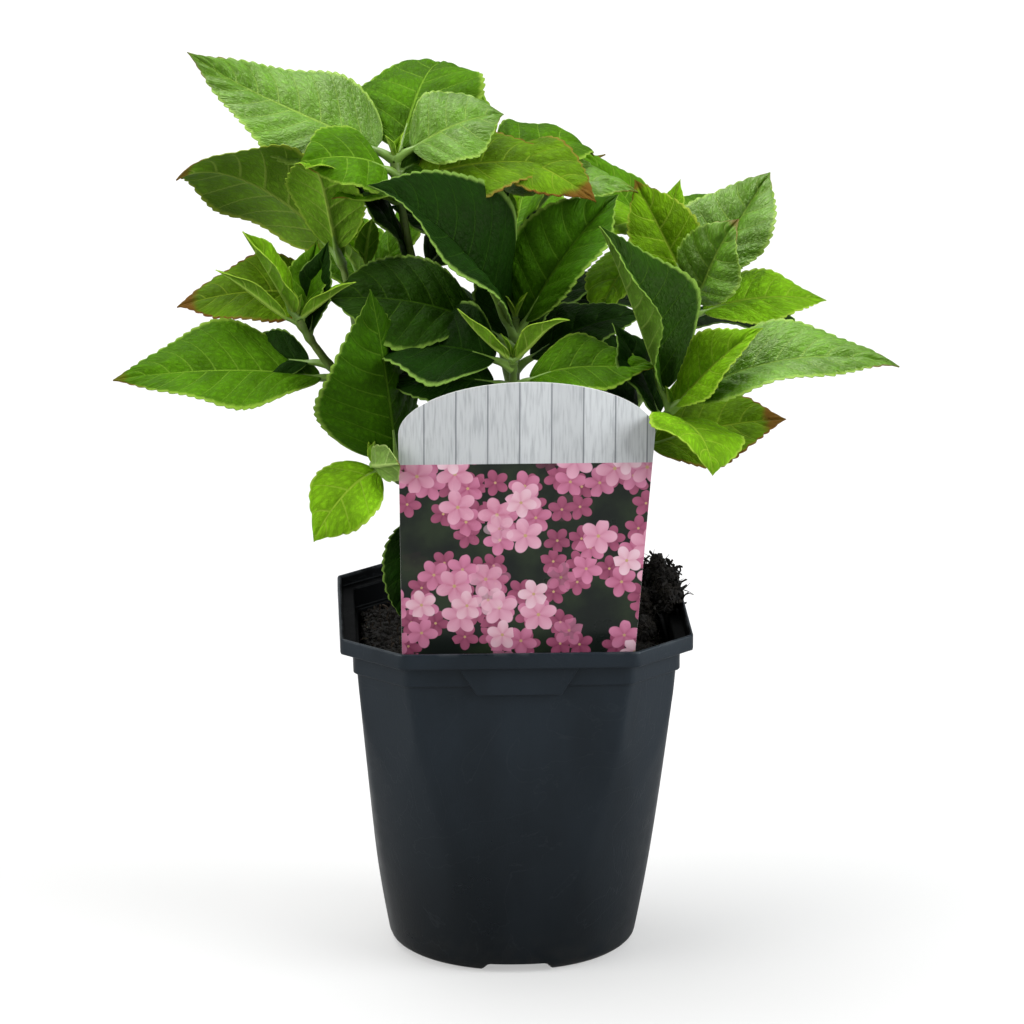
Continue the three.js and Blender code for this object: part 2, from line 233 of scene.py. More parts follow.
def start_group(name, kind, inputs, outputs):
    """Starts a group whose inputs are given by a first number, or by the kind of socket."""
    tree = bpy.data.node_groups.new(name, kind)
    for title, value in inputs.items():
        socket = SOCKETS.get(type(value), f"NodeSocket{value}")
        made = tree.interface.new_socket(title, in_out="INPUT", socket_type=socket)
        if type(value) in SOCKETS:
            made.default_value = value
    for title, socket in outputs.items():
        tree.interface.new_socket(title, in_out="OUTPUT", socket_type=f"NodeSocket{socket}")
    return tree, tree.nodes.new("NodeGroupInput").outputs, tree.nodes.new("NodeGroupOutput").inputs


def use_group(tree, group, **values):
    return put(tree, "ShaderNodeGroup", values, node_tree=group).outputs


def titles(tree, way):
    return [s.name for s in tree.interface.items_tree if s.in_out == way]


def start_material(name, **plain):
    material = bpy.data.materials.new(name)
    material.use_nodes = True
    shader = material.node_tree.nodes["Principled BSDF"].inputs
    feed(shader, **plain)
    return material, material.node_tree, shader


print("numbers in a group start as:", list(SOCKETS.values()))

# %% [markdown]
# ## Two effects that many finishes share
# Nothing on a living plant or a used pot is one even tone. The first group makes soft blotches of
# light and dark from noise on the object's own coordinates. The second makes a fine surface grain
# as a height, with thin scratches here and there, for moulded plastic, card and bark. Soil, stalks,
# bark and the back of the card need no more than these two, so one function makes such finishes.


# %% Shared effects
def make_mottle():
    tree, given, result = start_group(
        "mottle", "ShaderNodeTree", dict(Scale=80.0, Low=0.85, High=1.15, Stretch=1.0),
        dict(Mask="Float", Tone="Float"))
    place = vector("MULTIPLY", object_place(tree), join(1.0, 1.0, given["Stretch"]))
    mask = smooth(fog(place, given["Scale"], 4.0)["Fac"], 0.32, 0.68)
    tone = put(tree, "ShaderNodeMapRange",
               {"Value": mask, "To Min": given["Low"], "To Max": given["High"]}).outputs["Result"]
    feed(result, Mask=mask, Tone=tone)
    return tree


def make_grain():
    tree, given, result = start_group(
        "grain", "ShaderNodeTree", dict(Scale=900.0, Stretch=1.0, Scratches=0.3),
        dict(Height="Float", Scratch="Float"))
    place = object_place(tree)
    pulled = vector("MULTIPLY", place, join(1.0, 1.0, given["Stretch"]))
    fine = fog(pulled, given["Scale"], 3.0)["Fac"]
    lines = fog(place, 26.0, 5.0, 1.6)["Fac"]
    scratch = smooth(calc("ABSOLUTE", minus(lines, 0.5)), 0.0, 0.006, 1.0, 0.0)
    scratch = times(scratch, given["Scratches"])
    feed(result, Height=minus(fine, scratch), Scratch=scratch)
    return tree


MOTTLE = make_mottle()
GRAIN = make_grain()


def plain_finish(name, color, cloud, rough, grain=None, relief=(), level=0.5):
    """One colour with soft blotches, a gloss that follows them and a fine grain in relief."""
    material, tree, shader = start_material(name, Specular_IOR_Level=level)
    mottle = use_group(tree, MOTTLE, **cloud)
    feed(shader, Base_Color=tinted(color, mottle["Tone"]),
         Roughness=smooth(mottle["Mask"], 0.0, 1.0, *rough))
    if grain:
        feed(shader, Normal=bump(use_group(tree, GRAIN, **grain)["Height"], *relief))
    return material


print("shared groups:", MOTTLE.name, GRAIN.name)

# %% [markdown]
# ## The floor
# A plain pale sheet, wide enough to fill the picture from every side. It belongs to the studio and
# not to the plant. In the picture the sheet is pure white with a faint shadow, but the dark pot and
# leaves show that little light came back up from it. So the sheet looks whiter to the viewer than
# it is to the light that bounces off it.


# %% Floor
FLOOR_REACH = 14.0              # metres from the plant to each edge
BOUNCE = (0.30, 0.30, 0.30, 1)  # what the light meets
SEEN = (0.34, 0.34, 0.337, 1)   # what the viewer meets
GLOW = 0.42


def make_floor():
    mesh = bpy.data.meshes.new("floor")
    corners = [(x * FLOOR_REACH, y * FLOOR_REACH, 0) for x, y in ((-1, -1), (1, -1), (1, 1), (-1, 1))]
    mesh.from_pydata(corners, [], [(0, 1, 2, 3)])
    material, tree, shader = start_material(
        "floor_white", Roughness=0.8, Specular_IOR_Level=0.1, Emission_Color=(1, 1, 1, 1))
    viewed = put(tree, "ShaderNodeLightPath").outputs["Is Camera Ray"]
    feed(shader, Base_Color=blend(viewed, BOUNCE, SEEN), Emission_Strength=times(viewed, GLOW))
    mesh.materials.append(material)
    floor = add_object("floor", mesh)
    return floor


floor = make_floor()
print("floor in metres:", tuple(round(v, 1) for v in floor.dimensions))

# %% [markdown]
# ## Making pieces
# Most pieces here are skins of rings: rows of points with the same count, joined row to row. One
# helper turns points in millimetres and faces into an object with its finishes. Sharp edges are
# marked by angle, so rounded faces shade smoothly and corners stay crisp. Another helper lets a
# piece ride on the plant's only body and hides the solids it stands for.


# %% Piece helpers
def finish_piece(piece, replaced=()):
    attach(piece, "root")
    if replaced:
        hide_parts(*replaced)
    return piece


def mesh_object(name, points, faces, materials, sharp=40.0):
    mesh = bpy.data.meshes.new(name)
    mesh.from_pydata((np.asarray(points) * MM).tolist(), [], [list(f) for f in faces])
    for material in materials:
        mesh.materials.append(material)
    mesh.shade_smooth()
    mesh.set_sharp_from_angle(angle=math.radians(sharp))
    return add_object(name, mesh)


def skin_faces(rows, count):
    """Faces between rings, each listed anticlockwise from above, going up."""
    pairs = [(i * count, (i + 1) * count) for i in range(rows - 1)]
    sides = [(j, (j + 1) % count) for j in range(count)]
    return [(low + j, low + k, high + k, high + j) for low, high in pairs for j, k in sides]


def circle(x, y, z, radius, count):
    angle = np.linspace(0, 2 * np.pi, count, endpoint=False)
    level = np.full(count, float(z))
    return np.stack([x + radius * np.cos(angle), y + radius * np.sin(angle), level], 1)


def capped_skin(rings):
    count = len(rings[0])
    faces = skin_faces(len(rings), count)
    faces.append(tuple(reversed(range(count))))
    faces.append(tuple(range((len(rings) - 1) * count, len(rings) * count)))
    return np.concatenate(rings), faces


def faces_of(piece):
    piece.data.calc_loop_triangles()
    return len(piece.data.loop_triangles)


print("faces between two rings of four:", skin_faces(2, 4))

# %% [markdown]
# ## The pot
# Nursery pots like this are moulded in one shot: a cone that is round at the foot, cut by four flat
# sides and four flat corners that grow towards the square top. Where the flats meet the cone they
# draw pointed arches. The outline is one formula, the nearest of the three shapes in each
# direction, softened where they cross, because a mould has small radii everywhere. The same
# profile of heights and offsets runs up the outside, over the rim and down the inside.

# %% Pot sizes
POT_HEIGHT = 130
POT_COLUMNS = 288
WALL = 1.5
FLOOR_TOP = 5.5
BODY_TOP = 116
LEDGE_TOP = 124
LEDGE_OUT = 1.4
RIM_OUT = 6.2
FOOT_ROUND = 4.5
EDGE_ROUND = 0.7
OUTSIDE_STEP, INSIDE_STEP = 2.6, 6  # millimetres between rings
CONE = (46.2, 72.6)
SIDE = (48.5, 58.8)
CORNER = (50.6, 70.2)
CHANNEL_WIDTH, CHANNEL_HEIGHT, CHANNEL_FROM = 24, 3.6, 16
TAB_TOP, TAB_BOTTOM, TAB_HEIGHT, TAB_THICK = 46, 31, 11, 1.3


def step(value, low, high):
    """0 below low, 1 above high, eased between."""
    x = np.clip((np.asarray(value, float) - low) / (high - low), 0, 1)
    return x * x * (3 - 2 * x)


def soft_min(a, b, softness):
    near = np.maximum(softness - np.abs(a - b), 0) / softness
    return np.minimum(a, b) - near * near * softness / 4


def pot_ring(z, out, count=POT_COLUMNS):
    share = min(z, BODY_TOP) / BODY_TOP
    angle = np.linspace(0, 2 * np.pi, count, endpoint=False)
    flat = np.maximum(np.abs(np.cos(angle)), np.abs(np.sin(angle)))
    turned = angle - np.pi / 4
    diagonal = np.maximum(np.abs(np.cos(turned)), np.abs(np.sin(turned)))
    cone, side, corner = (foot + (top - foot) * share + out for foot, top in (CONE, SIDE, CORNER))
    radius = soft_min(soft_min(cone, side / flat, 5.0 - 4.3 * share), corner / diagonal, 0.25)
    return circle(0, 0, z, radius, count)


def rounded(corners, radius):
    """Replaces every corner of a line of (height, offset) points by a small arc."""
    line = [corners[0]]
    for before, here, after in zip(corners, corners[1:], corners[2:]):
        before, here, after = (np.array(p, float) for p in (before, here, after))
        room = min(radius, np.linalg.norm(before - here) / 2, np.linalg.norm(after - here) / 2)
        start = here + (before - here) / np.linalg.norm(before - here) * room
        end = here + (after - here) / np.linalg.norm(after - here) * room
        for t in (0, 1 / 3, 2 / 3, 1):
            line.append(tuple((1 - t) ** 2 * start + 2 * t * (1 - t) * here + t * t * end))
    return line + [corners[-1]]


print("pot across the rim in mm:", 2 * (SIDE[1] + RIM_OUT))


# %% Pot finish
def make_pot_finish(name, color, level):
    material, tree, shader = start_material(
        name, Specular_IOR_Level=level, Specular_Tint=(0.82, 0.93, 1.0, 1))
    height = split(object_place(tree))["Z"]
    cloud = use_group(tree, MOTTLE, Scale=34.0, Low=0.8, High=1.25, Stretch=0.45)
    dust = use_group(tree, MOTTLE, Scale=150.0, Low=0.0, High=1.0)["Mask"]
    grain = use_group(tree, GRAIN, Scale=1500.0, Stretch=0.5, Scratches=0.55)
    # painted shade: the colour darkens towards the foot, to about a third at the floor
    base = tinted(tinted(color, cloud["Tone"]), smooth(height, 0.0, 0.11, 0.35, 1.0))
    worn = times(smooth(height, 0.1285, 0.1299), smooth(dust, 0.45, 0.9))
    soiled = times(smooth(height, 0.0, 0.02, 1.0, 0.0), dust)
    marks = [(worn, 0.4, (0.045, 0.05, 0.055, 1)), (soiled, 0.25, (0.022, 0.02, 0.016, 1)),
             (grain["Scratch"], 0.3, (0.03, 0.035, 0.04, 1))]
    for mask, share, shade in marks:
        base = blend(times(mask, share), base, shade)
    rough = plus(smooth(cloud["Mask"], 0.0, 1.0, 0.27, 0.37), times(dust, 0.06))
    feed(shader, Base_Color=base, Roughness=rough, Normal=bump(grain["Height"], 0.00012, 0.35))
    return material


POT_FINISH = make_pot_finish("charcoal_plastic", (0.009, 0.0128, 0.0175, 1), 0.26)
# a darker, duller copy of the plastic for the inside of the pot: painted shade
POT_INSIDE = make_pot_finish("plastic_inside_painted_shade", (0.0016, 0.0017, 0.0019, 1), 0.03)
print("finishes:", POT_FINISH.name, POT_INSIDE.name)

# %% [markdown]
# ### Pot mesh
# Under the floor four channels run out to the sides so that water can leave. They are made
# without any cut: the points of the underside that lie inside a channel are lifted to its height,
# with a small slope at the channel's edges. The inside takes a second finish, darker and duller
# than the first, as painted shade.


# %% Pot mesh
def lift_channels(points):
    radius = np.hypot(points[:, 0], points[:, 1])
    for ahead, across in ((0, 1), (1, 0)):
        inside = 1 - step(np.abs(points[:, across]), CHANNEL_WIDTH / 2 - 1.5, CHANNEL_WIDTH / 2 + 2.0)
        begun = step(np.abs(points[:, ahead]), CHANNEL_FROM - 1, CHANNEL_FROM + 1)
        lifted = CHANNEL_HEIGHT * inside * begun
        low = (points[:, 2] < CHANNEL_HEIGHT + 0.5) & (radius > 1)
        points[low, 2] = np.maximum(points[low, 2], lifted[low])
    return points


def make_pot():
    outer = rounded(
        [(24, 0), (BODY_TOP, 0), (BODY_TOP, LEDGE_OUT), (LEDGE_TOP, LEDGE_OUT), (LEDGE_TOP, RIM_OUT),
         (POT_HEIGHT, RIM_OUT), (POT_HEIGHT, RIM_OUT - WALL), (LEDGE_TOP + WALL, RIM_OUT - WALL),
         (LEDGE_TOP + WALL, LEDGE_OUT - WALL), (BODY_TOP + WALL, LEDGE_OUT - WALL),
         (BODY_TOP + WALL, -WALL), (100, -WALL)],
        EDGE_ROUND,
    )
    climb = [(float(z), 0.0) for z in np.arange(FOOT_ROUND, BODY_TOP - 1, OUTSIDE_STEP)]
    arc = [(FOOT_ROUND * (1 - math.sin(a)), -FOOT_ROUND * (1 - math.cos(a)))
           for a in np.radians([90, 75, 60, 45, 30, 15])]
    descent = [(float(z), -WALL) for z in np.arange(97, FLOOR_TOP, -INSIDE_STEP)]
    profile = arc + climb + outer[1:-1] + descent + [(FLOOR_TOP, -WALL)]
    foot = pot_ring(*arc[0])
    shares = (0.12, 0.3, 0.34, 0.37, 0.41, 0.55, 0.7, 0.85, 0.95)
    rings = [foot * np.array([s, s, 1]) for s in shares] + [pot_ring(z, out) for z, out in profile]
    inner = rings[-1]
    rings += [inner * np.array([s, s, 1]) for s in (0.7, 0.35)]
    points, faces = capped_skin(rings)
    pot = mesh_object("pot_body", lift_channels(points), faces, [POT_FINISH, POT_INSIDE], 50)
    for face in pot.data.polygons:
        inward = face.normal.x * face.center.x + face.normal.y * face.center.y < 0
        ledge = face.normal.z > 0 and face.center.z < (POT_HEIGHT - 1) * MM
        # the inside faces and the inner ledges take the darker copy, painted shade
        face.material_index = 1 if ledge or (inward and face.center.z > FLOOR_TOP * MM) else 0
    return finish_piece(pot, ["pot"])


pot = make_pot()
print("pot triangles:", faces_of(pot))


# %% [markdown]
# ### The tab under the rim
# A flat trapezoid stands out under the front rim, the place where a stick-on label goes. It is a
# plain prism with all its edges rounded by the Bevel operator, sunk a little into the wall.


# %% Pot tab
def prism(outline, near, far):
    """A closed prism over an outline of (across, height) points, from the near y to the far y."""
    count = len(outline)
    front = [(x, near, z) for x, z in outline]
    back = [(x, far, z) for x, z in outline]
    faces = [tuple(range(count)), tuple(reversed(range(count, 2 * count)))]
    faces += [((i + 1) % count, i, count + i, count + (i + 1) % count) for i in range(count)]
    return np.array(front + back, float), faces


def round_edges(piece, width, segments=3):
    model = bmesh.new()
    model.from_mesh(piece.data)
    bmesh.ops.recalc_face_normals(model, faces=model.faces)
    bmesh.ops.bevel(model, geom=model.edges[:], offset=width * MM, segments=segments,
                    profile=0.6, affect="EDGES", clamp_overlap=True)
    model.to_mesh(piece.data)
    model.free()
    piece.data.shade_smooth()
    piece.data.set_sharp_from_angle(angle=math.radians(40))
    return piece


def make_tab():
    face = SIDE[1] + LEDGE_OUT
    foot = LEDGE_TOP - TAB_HEIGHT
    outline = [(-TAB_BOTTOM / 2, foot), (TAB_BOTTOM / 2, foot),
               (TAB_TOP / 2, LEDGE_TOP + 0.8), (-TAB_TOP / 2, LEDGE_TOP + 0.8)]
    points, faces = prism(outline, -face - TAB_THICK, -face + 1.2)
    tab = round_edges(mesh_object("pot_tab", points, faces, [POT_FINISH]), 0.45)
    return finish_piece(tab)


tab = make_tab()
print("tab triangles:", faces_of(tab))

# %% [markdown]
# ## The soil
# The plant stands in dark peat that has dried a little and drawn back from the wall. Its top is
# uneven, with a crumbly clod pushed up over the rim at the right. The bed is one closed body whose
# top is moved by noise. Crumbs, root fibres and a few white grains are strewn over it by Geometry
# Nodes, which scatter copies of one small shape and then turn them into real faces.

# %% Soil finish
SOIL_TOP = 118
# the lumps of the clod: x, y, foot, top, radius at the foot and at the top
CLOD = [(48, 18, 115, 141, 6.5, 4), (55.5, 14, 126.5, 144.5, 6, 2.8), (43, 24, 115, 133, 5, 2),
        (49, 4, 115, 135, 6.5, 4), (56.5, 5, 126.5, 138, 5.2, 3.2), (49, -8, 114, 127, 6, 3),
        (54.5, 21, 126.5, 139.5, 5, 2.6), (49.5, 12, 115, 132, 6, 6), (58.6, 12, 130.8, 141, 5.4, 3.6),
        (59, 3, 130.8, 136.5, 5, 3), (56.5, 20, 130.8, 137, 5, 3)]


def make_soil_finish(name, color, rough):
    return plain_finish(name, color, dict(Scale=260.0, Low=0.45, High=1.6), (rough - 0.12, rough + 0.08),
                        dict(Scale=2200.0, Scratches=0.0), (0.0004, 0.8), 0.25)


PEAT = make_soil_finish("peat", (0.0036, 0.0029, 0.0022, 1), 0.85)
CRUMB = make_soil_finish("peat_crumb", (0.006, 0.0045, 0.0032, 1), 0.85)
FIBRE = make_soil_finish("root_fibre", (0.022, 0.014, 0.008, 1), 0.8)
GRIT = make_soil_finish("white_grit", (0.30, 0.28, 0.24, 1), 0.7)
print("soil finishes:", PEAT.name, CRUMB.name, FIBRE.name, GRIT.name)


# %% Soil bed
def ruffle(points, size, height, seed):
    """Moves points up and down by noise of that size in millimetres."""
    offset = Vector((seed * 13.7, seed * 7.1, 0))
    moved = [noise.fractal(Vector(p) / size + offset, 1.0, 2.0, 4) for p in points]
    points[:, 2] += height * np.array(moved)
    return points


def make_bed():
    inset = -WALL - 1.3
    count = 144
    levels = [6, 22, 42, 62, 84, 102, 113]
    rings = [pot_ring(z, inset, count) for z in levels]
    edge = pot_ring(BODY_TOP, inset, count)
    for share in np.linspace(0.985, 0.03, 34):
        ring = edge * np.array([share, share, 1])
        ring[:, 2] = SOIL_TOP - 2.2 * step(share, 0.9, 1.0) + 0.8 * math.cos(share * 5)
        rings.append(ruffle(ruffle(ring, 14, 2.2, 1), 3.2, 1.1, 2))
    points, faces = capped_skin(rings)
    bed = mesh_object("soil_bed", points, faces, [PEAT], 180)
    return finish_piece(bed, ["soil"])


def make_clod():
    parts, faces, start = [], [], 0
    for number, (x, y, foot, top, low, high) in enumerate(CLOD):
        rings = []
        for i in range(13):
            share = i / 12
            radius = (low + (high - low) * share) * math.sqrt(max(1 - share ** 5, 0.02))
            ring = circle(x, y, foot + (top - foot) * share, radius, 20)
            for p in ring:
                wobble = noise.noise_vector(Vector(p) / 4 + Vector((number * 9, 0, 0)))
                p += np.array(wobble) * 1.3
            rings.append(ring)
        points, more = capped_skin(rings)
        faces += [tuple(v + start for v in face) for face in more]
        parts.append(points)
        start += len(points)
    clod = mesh_object("soil_clod", np.concatenate(parts), faces, [PEAT], 180)
    return finish_piece(clod)


bed = make_bed()
clod = make_clod()
print("bed and clod triangles:", faces_of(bed), faces_of(clod))


# %% [markdown]
# ### Strewing by Geometry Nodes
# The tree takes a surface, puts points on the faces above a given height, sets one small shape on
# each, turned and sized at random with a fixed seed, and ends in real faces with their finish.


# %% Strewing tree
def end_tree(tree, geometry, finish, result):
    """Ends a tree in real faces that wear their finish."""
    real = put(tree, "GeometryNodeRealizeInstances", {"Geometry": geometry})
    done = put(tree, "GeometryNodeSetMaterial", {"Geometry": real.outputs[0], "Material": finish})
    feed(result, Geometry=done.outputs[0])
    return tree


def make_strewing():
    tree, given, result = start_group(
        "strewing", "GeometryNodeTree",
        dict(Surface="Geometry", Shape="Object", Density=1000.0, Smallest=0.001, Largest=0.002,
             Lowest=0.11, Seed=1, Finish="Material"),
        dict(Geometry="Geometry"))
    height = split(put(tree, "GeometryNodeInputPosition").outputs[0])["Z"]
    above = put(tree, "FunctionNodeCompare", {0: height, 1: given["Lowest"]},
                operation="GREATER_THAN", data_type="FLOAT").outputs[0]
    spread = put(tree, "GeometryNodeDistributePointsOnFaces",
                 {"Mesh": given["Surface"], "Selection": above, "Density": given["Density"],
                  "Seed": given["Seed"]}, distribute_method="RANDOM")
    shape = put(tree, "GeometryNodeObjectInfo", {"Object": given["Shape"]}).outputs["Geometry"]
    turn = put(tree, "FunctionNodeRandomValue",
               {0: (-math.pi,) * 3, 1: (math.pi,) * 3, "Seed": given["Seed"]}, data_type="FLOAT_VECTOR")
    size = put(tree, "FunctionNodeRandomValue",
               {2: given["Smallest"], 3: given["Largest"], "Seed": given["Seed"]}, data_type="FLOAT")
    strewn = put(tree, "GeometryNodeInstanceOnPoints",
                 {"Points": spread.outputs["Points"], "Instance": shape,
                  "Rotation": turn.outputs[0], "Scale": size.outputs[1]})
    return end_tree(tree, strewn.outputs[0], given["Finish"], result)


def run_nodes(name, base, tree, values):
    """Runs a node tree on an object and keeps the result as a plain mesh of its own."""
    sockets = {s.name: s.identifier for s in tree.interface.items_tree if s.in_out == "INPUT"}
    modifier = base.modifiers.new(name, "NODES")
    modifier.node_group = tree
    for key, value in values.items():
        modifier[sockets[key]] = value
    graph = bpy.context.evaluated_depsgraph_get()
    mesh = bpy.data.meshes.new_from_object(base.evaluated_get(graph))
    base.modifiers.remove(modifier)
    mesh.name = name
    return add_object(name, mesh)


STREWING = make_strewing()
print("inputs:", titles(STREWING, "INPUT"))


# %% Crumbs, fibres and grit
def helper_object(name, model):
    mesh = bpy.data.meshes.new(name)
    model.to_mesh(mesh)
    model.free()
    return bpy.data.objects.new(name, mesh)


def make_crumb_shape():
    model = bmesh.new()
    bmesh.ops.create_icosphere(model, subdivisions=1, radius=1)
    draw = random.Random(4)
    for vertex in model.verts:
        vertex.co *= draw.uniform(0.65, 1.25)
    return helper_object("crumb_shape", model)


def make_fibre_shape():
    """One bent rootlet, three-sided and tapering, a unit long."""
    model = bmesh.new()
    rings = []
    for i in range(6):
        share = i / 5
        centre = Vector((share - 0.5, 0.16 * math.sin(share * 4.2), 0.1 * math.sin(share * 7)))
        radius = 0.055 * (1 - 0.8 * share)
        rings.append([model.verts.new(centre + Vector((0, math.cos(a), math.sin(a))) * radius)
                      for a in (0, 2 * math.pi / 3, 4 * math.pi / 3)])
    for low, high in zip(rings, rings[1:]):
        for j in range(3):
            model.faces.new((low[j], high[j], high[(j + 1) % 3], low[(j + 1) % 3]))
    model.faces.new(rings[0])
    model.faces.new(tuple(reversed(rings[-1])))
    bmesh.ops.recalc_face_normals(model, faces=model.faces)
    return helper_object("fibre_shape", model)


CRUMB_SHAPE = make_crumb_shape()
FIBRE_SHAPE = make_fibre_shape()


def strew(name, base, shape, density, sizes, lowest, seed, finish):
    values = {"Shape": shape, "Density": density, "Smallest": sizes[0] * MM, "Largest": sizes[1] * MM,
              "Lowest": lowest * MM, "Seed": seed, "Finish": finish}
    return finish_piece(run_nodes(name, base, STREWING, values))


strewn = [
    strew("bed_crumbs", bed, CRUMB_SHAPE, 210000.0, (0.5, 1.5), 115.0, 3, CRUMB),
    strew("bed_fibres", bed, FIBRE_SHAPE, 26000.0, (4.0, 9.0), 115.0, 5, FIBRE),
    strew("bed_grit", bed, CRUMB_SHAPE, 1500.0, (0.4, 0.7), 115.0, 8, GRIT),
    strew("clod_crumbs", clod, CRUMB_SHAPE, 900000.0, (0.5, 1.5), 119.0, 6, CRUMB),
    strew("clod_fibres", clod, FIBRE_SHAPE, 200000.0, (5.0, 11.0), 127.0, 7, PEAT),
]
print("strewn triangles:", {piece.name: faces_of(piece) for piece in strewn})

# %% [markdown]
# ## The picture card
# A stiff satin card with an arched top stands on a stake in the soil. Its upper part shows pale
# limewashed boards and its lower part a print of pink blossom on dark green. The print is a
# pattern worked out by nodes: scattered small five-petalled blossoms in four layers. Each layer
# finds the nearest blossom's middle with a Voronoi texture, and the angle round that middle draws
# the petals.

# %% Card sizes and outline
CARD_THICK = 0.7
CARD_BOTTOM, CARD_SHOULDER, CARD_TOP = 119.5, 212, 231.5
CARD_LEFT, CARD_RIGHT = -42.5, 42
CARD_HALF = 46.3
CARD_SHIFT = 2.6
CARD_LEAN = 0.085
CARD_Y = -55.9
STAKE_WIDTH, STAKE_BOTTOM = 20, 88
PRINT_TOP = 200.7


def card_outline():
    stake = STAKE_WIDTH / 2
    line = [(-stake + 2, STAKE_BOTTOM), (stake - 2, STAKE_BOTTOM), (stake, STAKE_BOTTOM + 3)]
    line += [(stake, CARD_BOTTOM), (CARD_RIGHT, CARD_BOTTOM)]
    for a in np.linspace(0, math.pi, 49):
        line.append((CARD_SHIFT + CARD_HALF * math.cos(a),
                     CARD_SHOULDER + (CARD_TOP - CARD_SHOULDER) * math.sin(a)))
    line += [(CARD_LEFT, CARD_BOTTOM), (-stake, CARD_BOTTOM), (-stake, STAKE_BOTTOM + 3)]
    return line


print("card width in mm:", 2 * CARD_HALF)


# %% Blossom layer
def make_blossoms():
    tree, given, result = start_group(
        "blossoms", "ShaderNodeTree", dict(Place="Vector", Scale=80.0, Size=0.45),
        dict(Mask="Float", Tone="Float", Eye="Float", Middle="Vector"))
    cells = put(tree, "ShaderNodeTexVoronoi",
                {"Vector": given["Place"], "Scale": given["Scale"], "Randomness": 0.55},
                voronoi_dimensions="2D").outputs
    distance = cells["Distance"]
    here, middle = (vector("SCALE", spot, given["Scale"])
                    for spot in (given["Place"], cells["Position"]))
    apart = split(vector("SUBTRACT", here, middle))
    chance = put(tree, "ShaderNodeSeparateColor", {0: cells["Color"]}).outputs
    turned = plus(times(calc("ARCTAN2", apart["Y"], apart["X"]), 2.5), times(chance[0], 6.0))
    petal = calc("ABSOLUTE", calc("COSINE", turned))
    reach = times(given["Size"], plus(times(petal, 0.42), 0.58))
    shade = calc("DIVIDE", distance, given["Size"])
    tone = plus(plus(times(shade, 0.45), times(petal, 0.3)), times(chance[1], 0.3))
    feed(result, Mask=smooth(minus(reach, distance), 0.0, 0.035), Tone=tone,
         Eye=smooth(distance, 0.03, 0.06, 1.0, 0.0), Middle=cells["Position"])
    return tree


BLOSSOMS = make_blossoms()
print("blossom group outputs:", titles(BLOSSOMS, "OUTPUT"))


# %% Card colours
BOARD = 0.0115     # metres across one board
PRINT_TONE = 0.82  # takes the glare off the print and the boards
EYE_COLOR = (0.62, 0.42, 0.2, 1)
BLOSSOM_LAYERS = [
    # cells to the metre, reach of a petal in cells, dark and light colour, how rare its clusters are
    (98.0, 0.52, (0.20, 0.03, 0.08, 1), (0.46, 0.12, 0.22, 1), 0.40),
    (84.0, 0.52, (0.40, 0.08, 0.17, 1), (0.76, 0.28, 0.45, 1), 0.45),
    (70.0, 0.50, (0.58, 0.15, 0.27, 1), (0.88, 0.48, 0.62, 1), 0.485),
    (80.0, 0.48, (0.70, 0.26, 0.38, 1), (0.95, 0.68, 0.77, 1), 0.535),
]


def board_color(across, up):
    """Pale limewashed boards with a thin dark joint."""
    boards = calc("DIVIDE", across, BOARD)
    number = calc("FLOOR", boards)
    joint = smooth(calc("ABSOLUTE", minus(calc("FRACT", boards), 0.5)), 0.465, 0.49)
    chance = put(number.id_data, "ShaderNodeTexWhiteNoise", {"W": number},
                 noise_dimensions="1D").outputs["Value"]
    fibres = fog(join(times(across, 1200.0), times(up, 90.0), number), 1.0, 5.0)["Fac"]
    pale = blend(smooth(fibres, 0.42, 0.75), (0.70, 0.725, 0.74, 1), (0.50, 0.52, 0.54, 1))
    pale = tinted(pale, plus(times(chance, 0.16), 0.88))
    return blend(times(joint, 0.75), pale, (0.13, 0.14, 0.16, 1))


def print_color(tree, place):
    """Four layers of blossoms, the paler ones on top, over a dark green ground."""
    ground = smooth(fog(place, 55.0, 4.0)["Fac"], 0.35, 0.7)
    color = blend(ground, (0.010, 0.014, 0.012, 1), (0.026, 0.04, 0.02, 1))
    for scale, size, dark, light, rare in BLOSSOM_LAYERS:
        shift = (scale, scale / 3, 0.0)
        moved = put(tree, "ShaderNodeMapping", {"Vector": place, "Location": shift}).outputs[0]
        layer = use_group(tree, BLOSSOMS, Place=moved, Scale=scale, Size=size)
        clusters = fog(vector("SUBTRACT", layer["Middle"], shift), 26.0, 1.0)["Fac"]
        petals = blend(calc("MINIMUM", layer["Tone"], 1.0), dark, light)
        petals = blend(layer["Eye"], petals, EYE_COLOR)
        color = blend(times(layer["Mask"], smooth(clusters, rare, rare + 0.02)), color, petals)
    return color


print("layers of blossoms:", len(BLOSSOM_LAYERS))


# %% Card finish
def make_card_front():
    material, tree, shader = start_material("card_print", Specular_IOR_Level=0.25)
    place = split(object_place(tree))
    across, up = place["X"], place["Z"]
    upper = calc("GREATER_THAN", up, PRINT_TOP * MM)
    color = blend(upper, print_color(tree, join(across, up)), board_color(across, up))
    gloss = use_group(tree, MOTTLE, Scale=60.0, Low=0.26, High=0.4)["Tone"]
    feed(shader, Base_Color=tinted(color, PRINT_TONE), Roughness=gloss)
    return material


CARD_FRONT = make_card_front()
CARD_BACK = plain_finish("card_white", (0.72, 0.72, 0.7, 1), dict(Scale=40.0, Low=0.93, High=1.0),
                         (0.45, 0.45), dict(Scale=2500.0, Scratches=0.2), (0.00006, 0.4))
print("card finishes:", CARD_FRONT.name, CARD_BACK.name)


